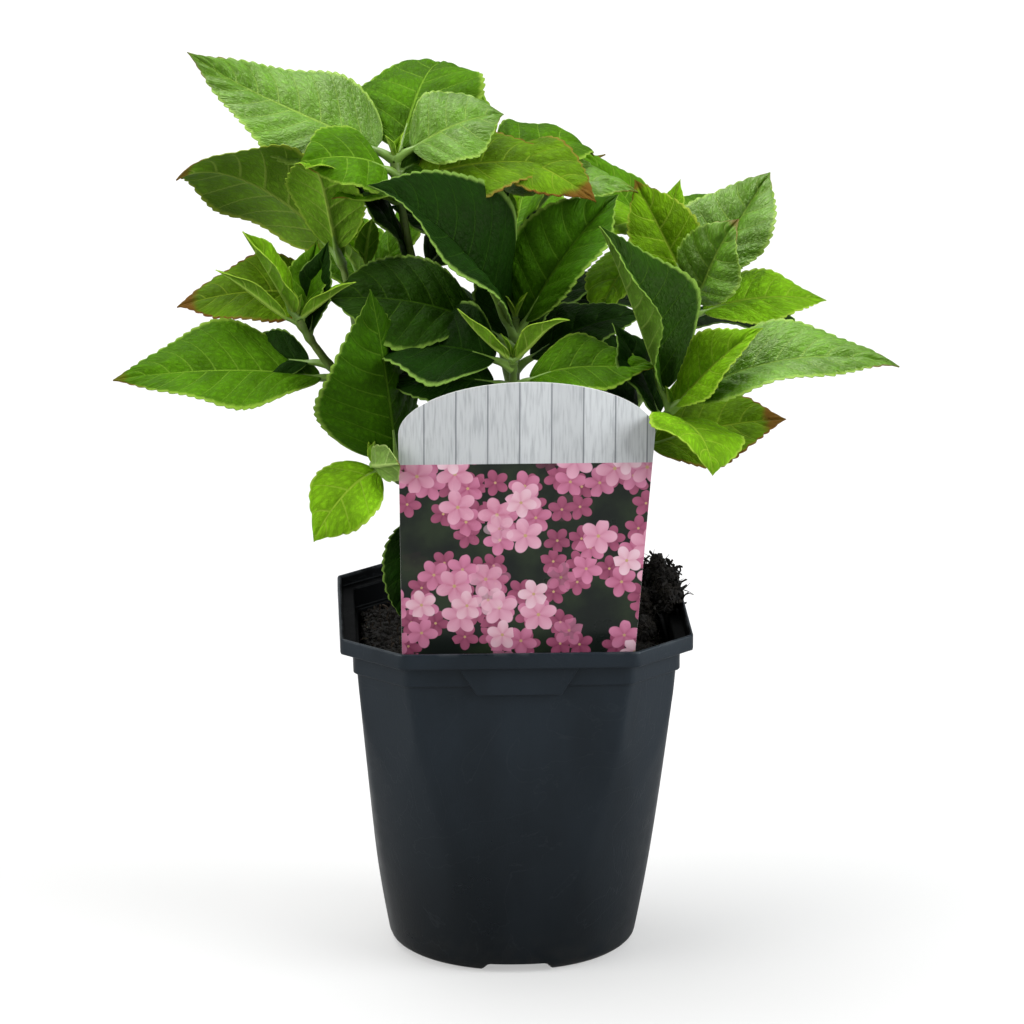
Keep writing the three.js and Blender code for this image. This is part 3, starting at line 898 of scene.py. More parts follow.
# %% Card mesh
def make_card():
    points, faces = prism(card_outline(), CARD_Y - CARD_THICK / 2, CARD_Y + CARD_THICK / 2)
    card = round_edges(mesh_object("picture_card", points, faces, [CARD_FRONT, CARD_BACK]), 0.12, 2)
    for vertex in card.data.vertices:
        vertex.co.y -= (vertex.co.z - LEDGE_TOP * MM) * CARD_LEAN
    for face in card.data.polygons:
        face.material_index = 0 if face.normal.y < -0.9 else 1
    return finish_piece(card, ["label_card"])


card = make_card()
print("card triangles:", faces_of(card))

# %% [markdown]
# ## Where the shoots run
# Eight stems rise from a short woody crown and four boughs leave them. Each is one smooth cubic
# curve from its foot to its tip, the same rule that the solids follow. Turns are degrees from +X
# towards +Y, and a rise is degrees above level. A tip is written as its turn, its distance from
# the middle and its height, and arrive is the turn and rise with which the shoot gets there.

# %% Shoot table
CROWN_TOP, CROWN_BASE, CROWN_WAIST = 131.5, 13, 11.2
FOOT_RING = 8.5
STEM_START = 132.3
STEM_FOOT, BOUGH_FOOT, STEM_TIP = 2.2, 1.9, 1.4
SHOOTS = {
    "front": dict(turn=235, tip=(268, 46, 235), arrive=(265, 62)),
    "middle": dict(turn=285, tip=(272, 14, 243), arrive=(270, 80)),
    "left": dict(turn=180, tip=(199, 84, 247), arrive=(200, 60)),
    "low_left": dict(parent="front", at=0.35, tip=(222, 71, 197), arrive=(190, 35)),
    "left_back": dict(parent="left", at=0.45, tip=(170, 64, 260), arrive=(170, 70)),
    "top": dict(turn=130, tip=(167, 44, 298), arrive=(130, 80)),
    "top_right": dict(turn=40, tip=(109, 28, 293), arrive=(60, 80)),
    "right_back": dict(turn=5, tip=(4, 68, 245), arrive=(20, 65)),
    "right": dict(turn=330, tip=(323, 70, 215), arrive=(330, 50)),
    "back_left": dict(parent="top", at=0.45, tip=(130, 84, 244), arrive=(130, 60)),
    "back_right": dict(parent="right_back", at=0.4, tip=(43, 84, 255), arrive=(60, 60)),
    "back": dict(turn=85, tip=(89, 88, 252), arrive=(90, 55)),
}
print("shoots:", ", ".join(SHOOTS))


# %% Curves
def direction(turn, rise):
    a, e = math.radians(turn), math.radians(rise)
    return np.array([math.cos(a) * math.cos(e), math.sin(a) * math.cos(e), math.sin(e)])


def bezier(hull, t):
    t = np.asarray(t, float)[..., None]
    s = 1 - t
    return s ** 3 * hull[0] + 3 * s * s * t * hull[1] + 3 * s * t * t * hull[2] + t ** 3 * hull[3]


def tangent(hull, t):
    t = np.asarray(t, float)[..., None]
    s = 1 - t
    way = s * s * (hull[1] - hull[0]) + 2 * s * t * (hull[2] - hull[1]) + t * t * (hull[3] - hull[2])
    return way / np.linalg.norm(way, axis=-1, keepdims=True)


def measured(hull):
    """Parameters along a curve and the length reached at each."""
    t = np.linspace(0, 1, 401)
    steps = np.linalg.norm(np.diff(bezier(hull, t), axis=0), axis=1)
    return t, np.concatenate([[0], np.cumsum(steps)])


def at_length(hull, length):
    t, reached = measured(hull)
    return np.interp(length, reached, t)


def stem_curve(name):
    shoot = SHOOTS[name]
    turn, reach, height = shoot["tip"]
    tip = direction(turn, 0) * reach + np.array([0, 0, height])
    if "parent" in shoot:
        parent = stem_curve(shoot["parent"])
        t = at_length(parent, shoot["at"] * measured(parent)[1][-1])
        foot = bezier(parent, t)
        out = (tip - foot) * np.array([1, 1, 0])
        leave = tangent(parent, t) * 0.15 + out / np.linalg.norm(out) * 0.27
    else:
        foot = direction(shoot["turn"], 0) * FOOT_RING + np.array([0, 0, STEM_START])
        leave = direction(shoot["turn"], 0) * 0.07 + np.array([0, 0, 0.33])
    span = np.linalg.norm(tip - foot)
    return np.array([foot, foot + leave * span, tip - direction(*shoot["arrive"]) * 0.36 * span, tip])


CURVES = {name: stem_curve(name) for name in SHOOTS}
print("stem lengths in mm:", {name: round(measured(hull)[1][-1]) for name, hull in CURVES.items()})

# %% [markdown]
# ## The leaves in numbers
# A hydrangea carries its leaves in opposite pairs, each pair a quarter turn on from the last. The
# shoots that face the viewer are listed leaf by leaf: how far below the shoot's tip the leaf sits,
# its turn, rise and length to its own tip, half its width, how steeply it leaves and how steeply
# it ends, its roll, its fold, and its tint. A last number, where there is one, says how far along
# the leaf is widest. INNER lists small shaded leaves deeper in the crown, and the shoots at the
# back follow the rule of pairs.

# %% Leaf table
LEAVES = {
    "front": [
        (0, 212, 43, 33, 5, -12, -10, 0, 45, "fresh"),
        (0, 319, 36, 32, 6, -5, 25, 0, 45, "fresh"),
        (4, 167, 6, 56, 25, 30, 12, 22, 14, "deep"),
        (14, 357, 9, 54, 18, 32, 10, -18, 14, "mid"),
    ],
    "middle": [
        (8, 202, 47, 86, 32, 20, 26, 33, 30, "deep"),
        (8, 20, 51, 66, 21, 14, 20, -30, 32, "shade"),
        (12, 192, 18, 74, 23, 34, 30, 36, 10, "dark", 0.62),
        (20, 5, 22, 52, 17, 25, 25, -20, 12, "deep"),
    ],
    "left": [
        (0, 200, 59, 40, 11, 0, 0, 20, 40, "fresh"),
        (0, 325, 33, 31, 4.5, -8, 10, 0, 45, "fresh"),
        (3, 212, 35, 44, 4.5, -8, 5, 0, 45, "fresh"),
        (3, 68, 60, 33, 9, 0, 0, 0, 30, "mid"),
        (30, 186, 2, 84, 25, 12, 10, 22, 16, "mid"),
        (22, 160, -4, 48, 14, 15, 15, 35, 10, "deep"),
    ],
    "low_left": [
        (12, 0, 98, 72, 27, 5, 8, -118, -30, "shade", 0.32),
        (4, 199, -43, 36, 15, 60, 40, 35, 5, "fresh"),
        (0, 288, 14, 31, 7.5, -20, 8, 72, 20, "pale"),
        (26, 203, -78, 50, 12, 20, 30, 60, 10, "deep"),
    ],
    "left_back": [
        (0, 187, 28, 69, 27, 42, 62, -45, 12, "olive", 0.4),
        (1, 247, 51, 54, 15, 0, 60, 0, 10, "fresh"),
        (15, 171, -4, 66, 18, 20, 20, 30, 14, "scorch"),
    ],
    "top": [
        (0, 160, 24, 89, 22.5, 5, -14, 34, 10, "silver", 0.34),
        (2, 70, 25, 65, 25, 20, 45, 0, 8, "mid"),
        (0, 8, 21, 44, 19, 20, 30, -35, 10, "silver"),
        (6, 208, 12, 42, 19, 34, 34, 34, 8, "mid"),
        (10, 2, 6, 64, 19, 26, 20, -30, 14, "scorch", 0.4),
    ],
    "top_right": [
        (0, 28, -2, 48, 19, 42, 35, -15, 12, "mid"),
        (4, 88, -8, 60, 19, 37, 30, 0, 10, "mid"),
        (11, 355, 1, 58, 16, 25, 20, -18, 12, "silver"),
        (0, 318, -8, 54, 15, 42, 25, -22, 12, "scorch"),
    ],
    "right_back": [
        (0, 138, 56, 51, 14, 5, 5, 35, 25, "olive"),
        (0, 38, 49, 58, 20, 8, 5, -20, 24, "silver"),
        (7, 330, 62, 45, 16, -5, 20, -70, 15, "silver"),
        (8, 11, 5, 55, 14, 30, 20, -30, 14, "fresh"),
    ],
    "right": [
        (0, 353, 12, 85, 19, 34, 34, -25, 18, "silver"),
        (0, 173, 69, 73, 27, 0, 5, 20, 43, "dark"),
        (4, 331, 44, 54, 13, 5, 15, -50, 25, "fresh"),
        (6, 292, -14, 44, 19, 40, 45, 15, 12, "fresh"),
        (24, 358, 12, 58, 17, 15, 15, -40, 12, "scorch"),
    ],
    "back_right": [
        (0, 238, 14, 57, 13, 30, 30, 20, 12, "fresh"),
        (6, 240, -14, 60, 14, 50, 40, 0, 12, "fresh"),
    ],
}
# most of these small leaves take the deep tint, painted shade
INNER = {
    "front": [
        (13, 180, 2, 46, 15, 25, 10, 30, 12, "deep"),
    ],
    "middle": [
        (18, 95, 66, 52, 15, 10, 10, 0, 12, "deep"),
    ],
    "top": [
        (44, 195, 55, 50, 17, 15, 15, 20, 12, "deep"),
        (46, 20, 40, 50, 16, 15, 15, -20, 12, "deep"),
        (16, 215, 10, 32, 13, 15, 15, 0, 12, "mid"),
        (5, 40, 5, 36, 15, 20, 20, -25, 10, "shade"),
    ],
    "top_right": [
        (40, 190, 35, 46, 15, 15, 15, 20, 12, "deep"),
        (40, 350, 30, 46, 15, 15, 15, -20, 12, "deep"),
        (3, 130, 40, 46, 18, 15, 30, 0, 12, "mid"),
    ],
    "right_back": [
        (30, 190, 20, 50, 16, 15, 15, 20, 12, "deep"),
    ],
    "right": [
        (34, 120, 62, 46, 14, 5, 5, 0, 12, "deep"),
        (12, 170, 38, 42, 16, 5, 5, 20, 12, "deep"),
        (6, 150, 60, 40, 15, 10, 10, 0, 12, "deep"),
    ],
    "left": [
        (44, 60, 40, 50, 16, 15, 15, 0, 12, "deep"),
        (9, 50, 72, 36, 9, 5, 5, 0, 25, "deep"),
    ],
    "back": [
        (40, 180, 25, 50, 17, 15, 15, 0, 12, "deep"),
        (40, 0, 25, 50, 17, 15, 15, 0, 12, "deep"),
    ],
}
# each pair of the rule: how far below the tip, rise, length, half width, lift
PAIRS = [(0, 64, 26, 5, 0), (8, 47, 56, 16, 15), (18, 21, 70, 20, 15), (32, 0, 67, 19.5, 15)]
# shoots that follow the rule: turn of the first pair, and which of the eight leaves are missing
BACK = {
    "back_left": (110, (5, 7, 8)),
    "back_right": (60, (4, 5, 8)),
    "back": (80, (3, 5, 8)),
}
# the lowest pair takes the deep tint, painted shade
PAIR_TINTS = ["fresh", "mid", "mid", "deep"]
BUD_LENGTH = 11


def leaf_rows(name):
    rows = LEAVES.get(name, []) + INNER.get(name, [])
    first, without = BACK.get(name, (None, ()))
    for pair, (down, rise, length, half, lift) in enumerate(PAIRS):
        for side in (0, 1):
            if first is not None and 2 * pair + side + 1 not in without:
                turn = first + 90 * pair + 180 * side
                rows.append((down, turn, rise, length, half, lift, 22, 0, 14, PAIR_TINTS[pair]))
    turn, rise = SHOOTS[name]["arrive"]
    for side in (90, 270):
        rows.append((0, turn + side, 66, BUD_LENGTH, 2.2, 0, 4, 0, 45, "fresh"))
    return rows


ROWS = {name: leaf_rows(name) for name in SHOOTS}
print("leaves:", sum(len(rows) for rows in ROWS.values()))

# %% [markdown]
# ## The shape of one leaf
# A leaf is a thin plate on a curved rib. Its half width follows a sine that is skewed towards the
# stalk. The plate is folded along the rib like a shallow V and each half curls down. On top of that
# come the things that make it a hydrangea: forward-pointing teeth on the margin, a sunken rib with
# a ridge below, arched side veins with the blade quilted up between them, and a lazy wave along
# the margin. All of it is arithmetic on a grid of rows and columns, with one seed for each leaf.

# %% Leaf shape
CURL = math.radians(18)
WIDEST = 0.43       # share of the length at which most leaves are widest
ROW_STEP = 0.62     # millimetres between rows
COLUMNS = 11        # columns on each side of the rib
TOOTH = 3.5         # millimetres from tooth to tooth
TOOTH_DEPTH = 1.0   # millimetres on a leaf 70 long
TOOTH_CREST = 0.78  # share of a tooth at which it is highest
VEIN_SPACE = 9.5    # millimetres from side vein to side vein
VEIN_SWEEP = 0.24   # how far the side veins run forward, as a share of the length
WAVE = 0.1          # height of the margin's wave, as a share of the half width
GROOVE, RIDGE, VEIN_RIDGE = 0.45, 1.0, 0.22  # millimetres: rib above and below, side veins below
THICK, THINNER = 0.22, 0.08  # half the thickness at the rib, and how much less at the margin
QUILT = {"silver": 1.4, "mid": 1.1, "shade": 1.2, "dark": 1.2}
QUILT_OTHERS = 0.8


def leaf_axes(turn, rise, roll):
    along = direction(turn, rise)
    level = math.radians(rise)
    up = direction(turn, 0) * -math.sin(level) + np.array([0, 0, math.cos(level)])
    side = np.cross(up, along)
    c, s = math.cos(math.radians(roll)), math.sin(math.radians(roll))
    return along, up * c + side * s, side * c - up * s


def leaf_rib(base, row):
    _, turn, rise, length, _, lift, droop, roll, _, _ = row[:10]
    along, normal, _ = leaf_axes(turn, rise, roll)
    leave, arrive, reach = math.radians(lift), math.radians(droop), 0.36 * length
    tip = base + along * length
    return np.array([
        base,
        base + (along * math.cos(leave) + normal * math.sin(leave)) * reach,
        tip - (along * math.cos(arrive) - normal * math.sin(arrive)) * reach,
        tip,
    ])


def stalk_share(length):
    return 7 / length if length > 40 else 0.06


def tooth_shape(phase):
    """Rises slowly towards the leaf's tip and drops fast, between 0 and 1."""
    part = phase % 1
    rising, falling = part / TOOTH_CREST, (part - TOOTH_CREST) / (1 - TOOTH_CREST)
    return np.where(part < TOOTH_CREST, np.sin(rising * np.pi / 2), np.cos(falling * np.pi / 2))


print("rows on the longest leaf:", round(88 / ROW_STEP))


# %% Leaf grid
def leaf_grid(base, row, seed):
    """Points above and below, and where each lies on the blade: share, part, vein phase, across."""
    _, turn, rise, length, half, _, _, roll, fold, tint = row[:10]
    widest = row[10] if len(row) > 10 else WIDEST
    draw = random.Random(seed)
    _, _, side = leaf_axes(turn, rise, roll)
    rib = leaf_rib(base, row)
    rows = max(24, round(length / ROW_STEP))
    share = np.linspace(0.008, 0.996, rows + 1)[:, None]
    part = np.linspace(-1, 1, 2 * COLUMNS + 1)
    part = (np.sign(part) * np.abs(part) ** 1.35)[None, :]
    size = np.abs(part)

    def sides(right, left):
        return np.where(part > 0, right, left)

    stalk = stalk_share(length)
    t = stalk + (1 - stalk) * share[:, 0]
    centre, along = bezier(rib, t)[:, None, :], tangent(rib, t)[:, None, :]
    normal = np.cross(along, side)

    skew = math.log(0.5) / math.log(widest)
    width = half * np.sin(np.pi * share ** skew) ** (0.8 + 0.4 * share)
    wander = [draw.uniform(0, 6.28) for _ in range(6)]
    width = width * (1 + 0.03 * np.sin(share * 9 + sides(wander[0], wander[1])))
    teeth = max(5, round(length * 0.95 / TOOTH))
    notch = tooth_shape(share * teeth + sides(0.5, 0.0) + 0.15 * np.sin(share * 23 + wander[2]))
    deep = TOOTH_DEPTH * min(1, math.sqrt(length / 70)) * np.minimum(1, width / 7)
    deep = deep * step(share, 0.08, 0.2) * (1 - step(share, 0.95, 0.99))
    outer = np.clip((size - 0.72) / 0.28, 0, 1) ** 1.4
    tooth = deep * (notch - 0.5) * outer
    forward = deep * 0.35 * notch * outer

    bend = math.radians(fold) * (1 + 0.22 * np.sin(share * 4 + wander[5]) * sides(1, -1))
    turned = CURL * size
    across = np.sign(part) * (width * (np.sin(bend) - np.sin(bend - turned)) / CURL + tooth)
    above = width * (np.cos(bend - turned) - np.cos(bend)) / CURL
    wave = WAVE * half * np.sin(share * 2 * np.pi * 1.7 + sides(wander[3], wander[4]))
    above = above + wave * size ** 1.6 * np.sin(np.pi * share)

    pairs = max(3, round(length / VEIN_SPACE))
    lean = VEIN_SWEEP * size ** 1.25 * (1.15 - 0.6 * share)
    phase = (share - lean) * pairs + sides(0.0, 0.38)
    raised = np.abs(np.sin(np.pi * phase)) ** 0.8 * step(size, 0.02, 0.3) * (1 - 0.85 * size ** 5)
    quilt = QUILT.get(tint, QUILT_OTHERS) * min(1, half / 14) * raised
    quilt = quilt * step(share, 0.03, 0.2) * (1 - step(share, 0.85, 1))
    apart = np.minimum(phase % 1, 1 - phase % 1) * length / pairs
    vein = np.exp(-(apart / 0.55) ** 2) * (1 - 0.8 * size) * step(size, 0.0, 0.05)
    x = width * part
    strong = (1 - 0.75 * share) * min(1, length / 50)
    groove = GROOVE * strong * np.exp(-(x / 0.8) ** 2)
    ridge = RIDGE * strong * np.exp(-(x / 0.75) ** 2) + VEIN_RIDGE * vein * strong

    tilt = bend - turned
    plate = side * (-np.sin(tilt) * np.sign(part))[..., None] + normal * np.cos(tilt)[..., None]
    surface = centre + side * across[..., None] + normal * above[..., None] + along * forward[..., None]
    thick = THICK - THINNER * size
    top = surface + plate * (thick + quilt - groove)[..., None]
    under = surface + plate * (quilt - thick - ridge)[..., None]
    place = np.stack(np.broadcast_arrays(share, part, phase, x), -1)
    return top, under, place


probe = leaf_grid(np.zeros(3), LEAVES["top"][0], 1)[0]
print("grid of the longest leaf:", probe.shape[:2])

# %% [markdown]
# ## The finish of a leaf
# The vein network is drawn by a node group from the leaf's own map, so that the fine lines lie
# exactly on the veins of the mesh: one coordinate counts side veins, the other measures from the
# rib. A Voronoi pattern adds the fine mesh of small veins between them. Each tint is dealt out
# leaf by leaf: fresh yellow green at the tips of the shoots, darker and deep greens inside, a
# silvery sheen on the big upper leaves, olive and scorched ones among them. The shade, dark and
# deep tints are darker copies of one green, painted shade for the leaves inside the crown.


# %% Vein group
def make_veins():
    tree, given, result = start_group(
        "leaf_veins", "ShaderNodeTree", dict(Net=1.0, Width=1.0),
        dict.fromkeys(("Rib", "Side", "Net", "Margin", "Tip", "Height"), "Float"))
    veins, place = (split(put(tree, "ShaderNodeUVMap", uv_map=name).outputs[0])
                    for name in ("veins", "place"))
    edge = calc("ABSOLUTE", place["Y"])
    rib_width = times(smooth(place["X"], 0.0, 1.0, 0.75, 0.2), given["Width"])
    rib = smooth(calc("DIVIDE", calc("ABSOLUTE", veins["Y"]), rib_width), 0.45, 1.1, 1.0, 0.0)
    part = calc("FRACT", veins["X"])
    apart = calc("MINIMUM", part, minus(1.0, part))
    side_width = times(smooth(edge, 0.0, 1.0, 0.05, 0.018), given["Width"])
    side = smooth(calc("DIVIDE", apart, side_width), 0.4, 1.1, 1.0, 0.0)
    side = times(side, smooth(edge, 0.85, 0.97, 1.0, 0.0))
    even = join(times(veins["X"], 6.5), veins["Y"])
    wavy = vector("ADD", even, fog(even, 0.7, 2.0, dimensions="2D")["Color"])
    coarse, fine = (put(tree, "ShaderNodeTexVoronoi", {"Vector": wavy, "Scale": scale},
                        feature="DISTANCE_TO_EDGE", voronoi_dimensions="2D").outputs["Distance"]
                    for scale in (0.42, 1.15))
    net = plus(times(smooth(coarse, 0.0, 0.09, 1.0, 0.0), 0.6),
               times(smooth(fine, 0.0, 0.12, 1.0, 0.0), 0.35))
    pillow = plus(smooth(coarse, 0.0, 0.5), times(smooth(fine, 0.0, 0.4), 0.45))
    height = minus(minus(times(pillow, given["Net"]), times(side, 0.8)), times(rib, 0.8))
    feed(result, Rib=rib, Side=side, Net=times(net, given["Net"]), Margin=smooth(edge, 0.90, 0.98),
         Tip=smooth(place["X"], 0.70, 0.97), Height=height)
    return tree


VEINS = make_veins()
print("vein outputs:", titles(VEINS, "OUTPUT"))

# %% Leaf colours
BROWN = (0.13, 0.042, 0.010, 1)
UNDER_BLADE = (0.13, 0.26, 0.025, 1)
UNDER_VEIN = (0.28, 0.40, 0.08, 1)
LEAF_SHEEN = {"silver": 0.6, "shade": 0.06, "dark": 0.08}
# shade, dark and deep are darker copies of the green: painted shade for leaves that lie in shade
LEAF_COLORS = {
    # blade, veins, margin, how far brown runs in from margin and tip
    "fresh": ((0.135, 0.300, 0.006, 1), (0.25, 0.40, 0.03, 1), (0.32, 0.47, 0.05, 1), 0.0),
    "mid": ((0.052, 0.142, 0.002, 1), (0.14, 0.27, 0.02, 1), (0.23, 0.37, 0.04, 1), 0.05),
    "shade": ((0.026, 0.084, 0.001, 1), (0.075, 0.17, 0.01, 1), (0.22, 0.36, 0.05, 1), 0.0),
    "dark": ((0.013, 0.046, 0.001, 1), (0.040, 0.10, 0.005, 1), (0.20, 0.34, 0.05, 1), 0.0),
    "deep": ((0.005, 0.022, 0.001, 1), (0.016, 0.05, 0.003, 1), (0.20, 0.34, 0.06, 1), 0.0),
    "silver": ((0.078, 0.190, 0.008, 1), (0.18, 0.31, 0.03, 1), (0.25, 0.40, 0.05, 1), 0.15),
    "olive": ((0.105, 0.228, 0.003, 1), (0.24, 0.36, 0.03, 1), (0.30, 0.38, 0.04, 1), 0.3),
    "scorch": ((0.088, 0.185, 0.004, 1), (0.19, 0.29, 0.02, 1), (0.24, 0.18, 0.03, 1), 0.9),
    "pale": ((0.19, 0.30, 0.075, 1), (0.30, 0.41, 0.15, 1), (0.3, 0.4, 0.12, 1), 0.1),
}
TINTS = list(LEAF_COLORS)
print("tints:", ", ".join(TINTS))


# %% Leaf finishes
def between(color, other, share):
    return tuple((1 - share) * a + share * b for a, b in zip(color, other))


def make_leaf_finish(tint, under):
    """The finish of one side of a leaf. The under side is paler and duller and its veins are wider."""
    blade, vein, margin, scorched = LEAF_COLORS[tint]
    level = 0.1 if under else LEAF_SHEEN.get(tint, 0.05)
    if under:
        blade, vein = between(blade, UNDER_BLADE, 0.45), between(vein, UNDER_VEIN, 0.5)
    material, tree, shader = start_material(
        f"leaf_{tint}_under" if under else f"leaf_{tint}",
        Specular_IOR_Level=level, Specular_Tint=(0.82, 1.0, 0.5, 1))
    lines = use_group(tree, VEINS, Net=1.0, Width=1.5 if under else 1.0)
    cloud = use_group(tree, MOTTLE, Scale=60.0, Low=0.74, High=1.22)
    speck = use_group(tree, MOTTLE, Scale=420.0, Low=0.9, High=1.08)
    color = tinted(blade, times(cloud["Tone"], speck["Tone"]))
    # painted shade in the veins and hollows of the quilting, painted light on its crests
    color = tinted(color, smooth(lines["Height"], -0.3, 1.4, 0.74, 1.16))
    drawn = plus(times(lines["Rib"], 0.9), times(lines["Side"], 0.6))
    drawn = plus(drawn, times(lines["Net"], 0.3 if under else 0.16))
    color = blend(calc("MINIMUM", drawn, 1.0), color, vein)
    color = blend(times(lines["Margin"], 0.7), color, margin)
    if scorched:
        burnt = plus(times(lines["Tip"], 0.9), times(lines["Margin"], 0.5))
        burnt = plus(burnt, times(cloud["Mask"], 0.45))
        burnt = smooth(burnt, 1.15 - 0.75 * scorched, 1.5 - 0.7 * scorched)
        color = blend(times(burnt, 0.85), color, BROWN)
    if under:
        rough = smooth(speck["Mask"], 0.0, 1.0, 0.55, 0.7)
        normal = bump(times(lines["Height"], -1.0), 0.0002, 0.7)
    else:
        low, high = (0.3, 0.42) if tint == "silver" else (0.44, 0.62)
        rough = plus(smooth(cloud["Mask"], 0.0, 1.0, low, high), times(lines["Rib"], 0.1))
        normal = bump(lines["Height"], 0.00028, 0.75)
    feed(shader, Base_Color=color, Roughness=rough, Normal=normal)
    return material


LEAF_FINISHES = [make_leaf_finish(tint, under) for tint in TINTS for under in (False, True)]
print("leaf finishes:", len(LEAF_FINISHES))


# %% [markdown]
# ## Joining leaves into sprays
# All leaves of one shoot become one mesh that stands for that shoot's solid mass. Each leaf's upper
# and under side get a patch of their own in a separate map, laid out as a square grid, so that a
# baked picture would have even room for all of them. The thin margin between the two sides is part
# of the upper patch.


# %% Leaf faces
def leaf_faces(rows, columns):
    """Quads of the two sides, then of the margin, over points numbered upper first."""
    i, j = np.meshgrid(np.arange(rows), np.arange(columns), indexing="ij")
    a = (i * (columns + 1) + j).ravel()
    b = a + columns + 1
    under = (rows + 1) * (columns + 1)
    top = np.stack([a, b, b + 1, a + 1], 1)
    low = np.stack([a, a + 1, b + 1, b], 1) + under
    i = np.arange(rows) * (columns + 1)
    j = np.arange(columns)
    left = np.stack([i, i + under, i + columns + 1 + under, i + columns + 1], 1)
    i = i + columns
    right = np.stack([i, i + columns + 1, i + columns + 1 + under, i + under], 1)
    foot = np.stack([j, j + 1, j + 1 + under, j + under], 1)
    j = j + rows * (columns + 1)
    tip = np.stack([j, j + under, j + 1 + under, j + 1], 1)
    return top, low, np.concatenate([left, right, foot, tip])


def patch(places, number, across):
    """Where a side of a leaf lies in the square grid of patches, across patches wide."""
    column, line = number % across, number // across
    inner = np.stack([places[:, 0], places[:, 1] / 2 + 0.5], 1) * 0.86 + 0.07
    return (inner + np.array([column, line])) / across


print("margin quads of a 10 by 4 grid:", len(leaf_faces(10, 4)[2]))


# %% Sprays
LEAF_SHARP = 62  # degrees


def make_spray(name, number):
    hull = CURVES[name]
    length = measured(hull)[1][-1]
    rows = ROWS[name]
    across = math.ceil(math.sqrt(2 * len(rows)))
    worn = sorted({TINTS.index(row[9]) for row in rows})
    maps = {"OFBake": [], "veins": [], "place": []}
    points, faces, slots, start = [], [], [], 0
    for index, row in enumerate(rows):
        base = bezier(hull, at_length(hull, length - row[0]))
        top, under, place = leaf_grid(base, row, 100 * number + index)
        count = top.shape[0] * top.shape[1]
        both = np.tile(place.reshape(-1, 4), (2, 1))
        upper, lower, margin = leaf_faces(top.shape[0] - 1, top.shape[1] - 1)
        flat = both[:, :2]
        beyond = flat.copy()  # here the margin reaches a little past the upper side
        below = beyond[count:]
        ends = np.abs(below[:, 1]) > 0.999
        below[ends, 1] *= 1.05
        below[~ends, 0] += np.where(below[~ends, 0] > 0.5, 0.02, -0.02)
        upper_patch = patch(beyond, 2 * index, across)
        lower_patch = patch(flat, 2 * index + 1, across)
        quads = np.concatenate([upper, lower, margin])
        patches = np.concatenate([upper_patch[upper], lower_patch[lower], upper_patch[margin]])
        tint = 2 * worn.index(TINTS.index(row[9]))
        slots += [tint] * len(upper) + [tint + 1] * len(lower) + [tint] * len(margin)
        points.append(np.concatenate([top.reshape(-1, 3), under.reshape(-1, 3)]))
        faces.append(quads + start)
        for title, data in zip(maps, (patches, both[:, 2:][quads], flat[quads])):
            maps[title].append(data.reshape(-1, 2))
        start += 2 * count
    finishes = [LEAF_FINISHES[2 * i + side] for i in worn for side in (0, 1)]
    spray = mesh_object(f"leaves_{name}", np.concatenate(points), np.concatenate(faces).tolist(),
                        finishes, LEAF_SHARP)
    for title, data in maps.items():
        layer = spray.data.uv_layers.new(name=title)
        layer.data.foreach_set("uv", np.concatenate(data).astype(np.float32).ravel())
    spray.data.polygons.foreach_set("material_index", slots)
    spray.data.update()
    return finish_piece(spray, [f"foliage_{name}"])


sprays = [make_spray(name, number) for number, name in enumerate(SHOOTS)]
print("leaf triangles:", sum(faces_of(spray) for spray in sprays))

# %% [markdown]
# ## Stems and leaf stalks
# Every stem and stalk is a round shaft that follows a curve, so one Geometry Nodes tree makes them
# all: it sweeps a circle along the line, as thick as the line says at each point, closes the ends
# and roughens the surface along its normals. The thickness is written on the line beforehand. It
# tapers, and swells at each joint where a pair of leaves sits or once sat.


# %% Shaft tree
def make_shaft_tree():
    tree, given, result = start_group(
        "shaft", "GeometryNodeTree",
        dict(Line="Geometry", Sides=14, Relief=0.0003, Grain=400.0, Finish="Material"),
        dict(Geometry="Geometry"))
    circle = put(tree, "GeometryNodeCurvePrimitiveCircle",
                 {"Resolution": given["Sides"], "Radius": 1.0}, mode="RADIUS")
    radius = put(tree, "GeometryNodeInputRadius").outputs[0]
    swept = put(tree, "GeometryNodeCurveToMesh",
                {"Curve": given["Line"], "Profile Curve": circle.outputs["Curve"],
                 "Scale": radius, "Fill Caps": True})
    spot = put(tree, "GeometryNodeInputPosition").outputs[0]
    rough = fog(vector("MULTIPLY", spot, (1.0, 1.0, 0.3)), given["Grain"], 3.0)["Fac"]
    normal = put(tree, "GeometryNodeInputNormal").outputs[0]
    push = vector("SCALE", normal, times(minus(rough, 0.5), given["Relief"]))
    moved = put(tree, "GeometryNodeSetPosition", {"Geometry": swept.outputs[0], "Offset": push})
    even = put(tree, "GeometryNodeSetShadeSmooth", {"Geometry": moved.outputs[0]})
    return end_tree(tree, even.outputs[0], given["Finish"], result)


def make_lines(name, lines):
    """One curve object holding many lines, each a list of points with a radius at every point."""
    curve = bpy.data.curves.new(name, "CURVE")
    curve.dimensions = "3D"
    for points, radii in lines:
        spline = curve.splines.new("POLY")
        spline.points.add(len(points) - 1)
        for spot, place, radius in zip(spline.points, points, radii):
            spot.co = (*(float(v) * MM for v in place), 1.0)
            spot.radius = float(radius) * MM
    return add_object(name, curve)


def sweep(name, lines, sides, relief, grain, finish):
    base = make_lines(name + "_lines", lines)
    values = {"Sides": sides, "Relief": relief * MM, "Grain": grain, "Finish": finish}
    piece = run_nodes(name, base, SHAFT, values)
    bpy.data.objects.remove(base)
    return piece


SHAFT = make_shaft_tree()
print("shaft inputs:", titles(SHAFT, "INPUT"))


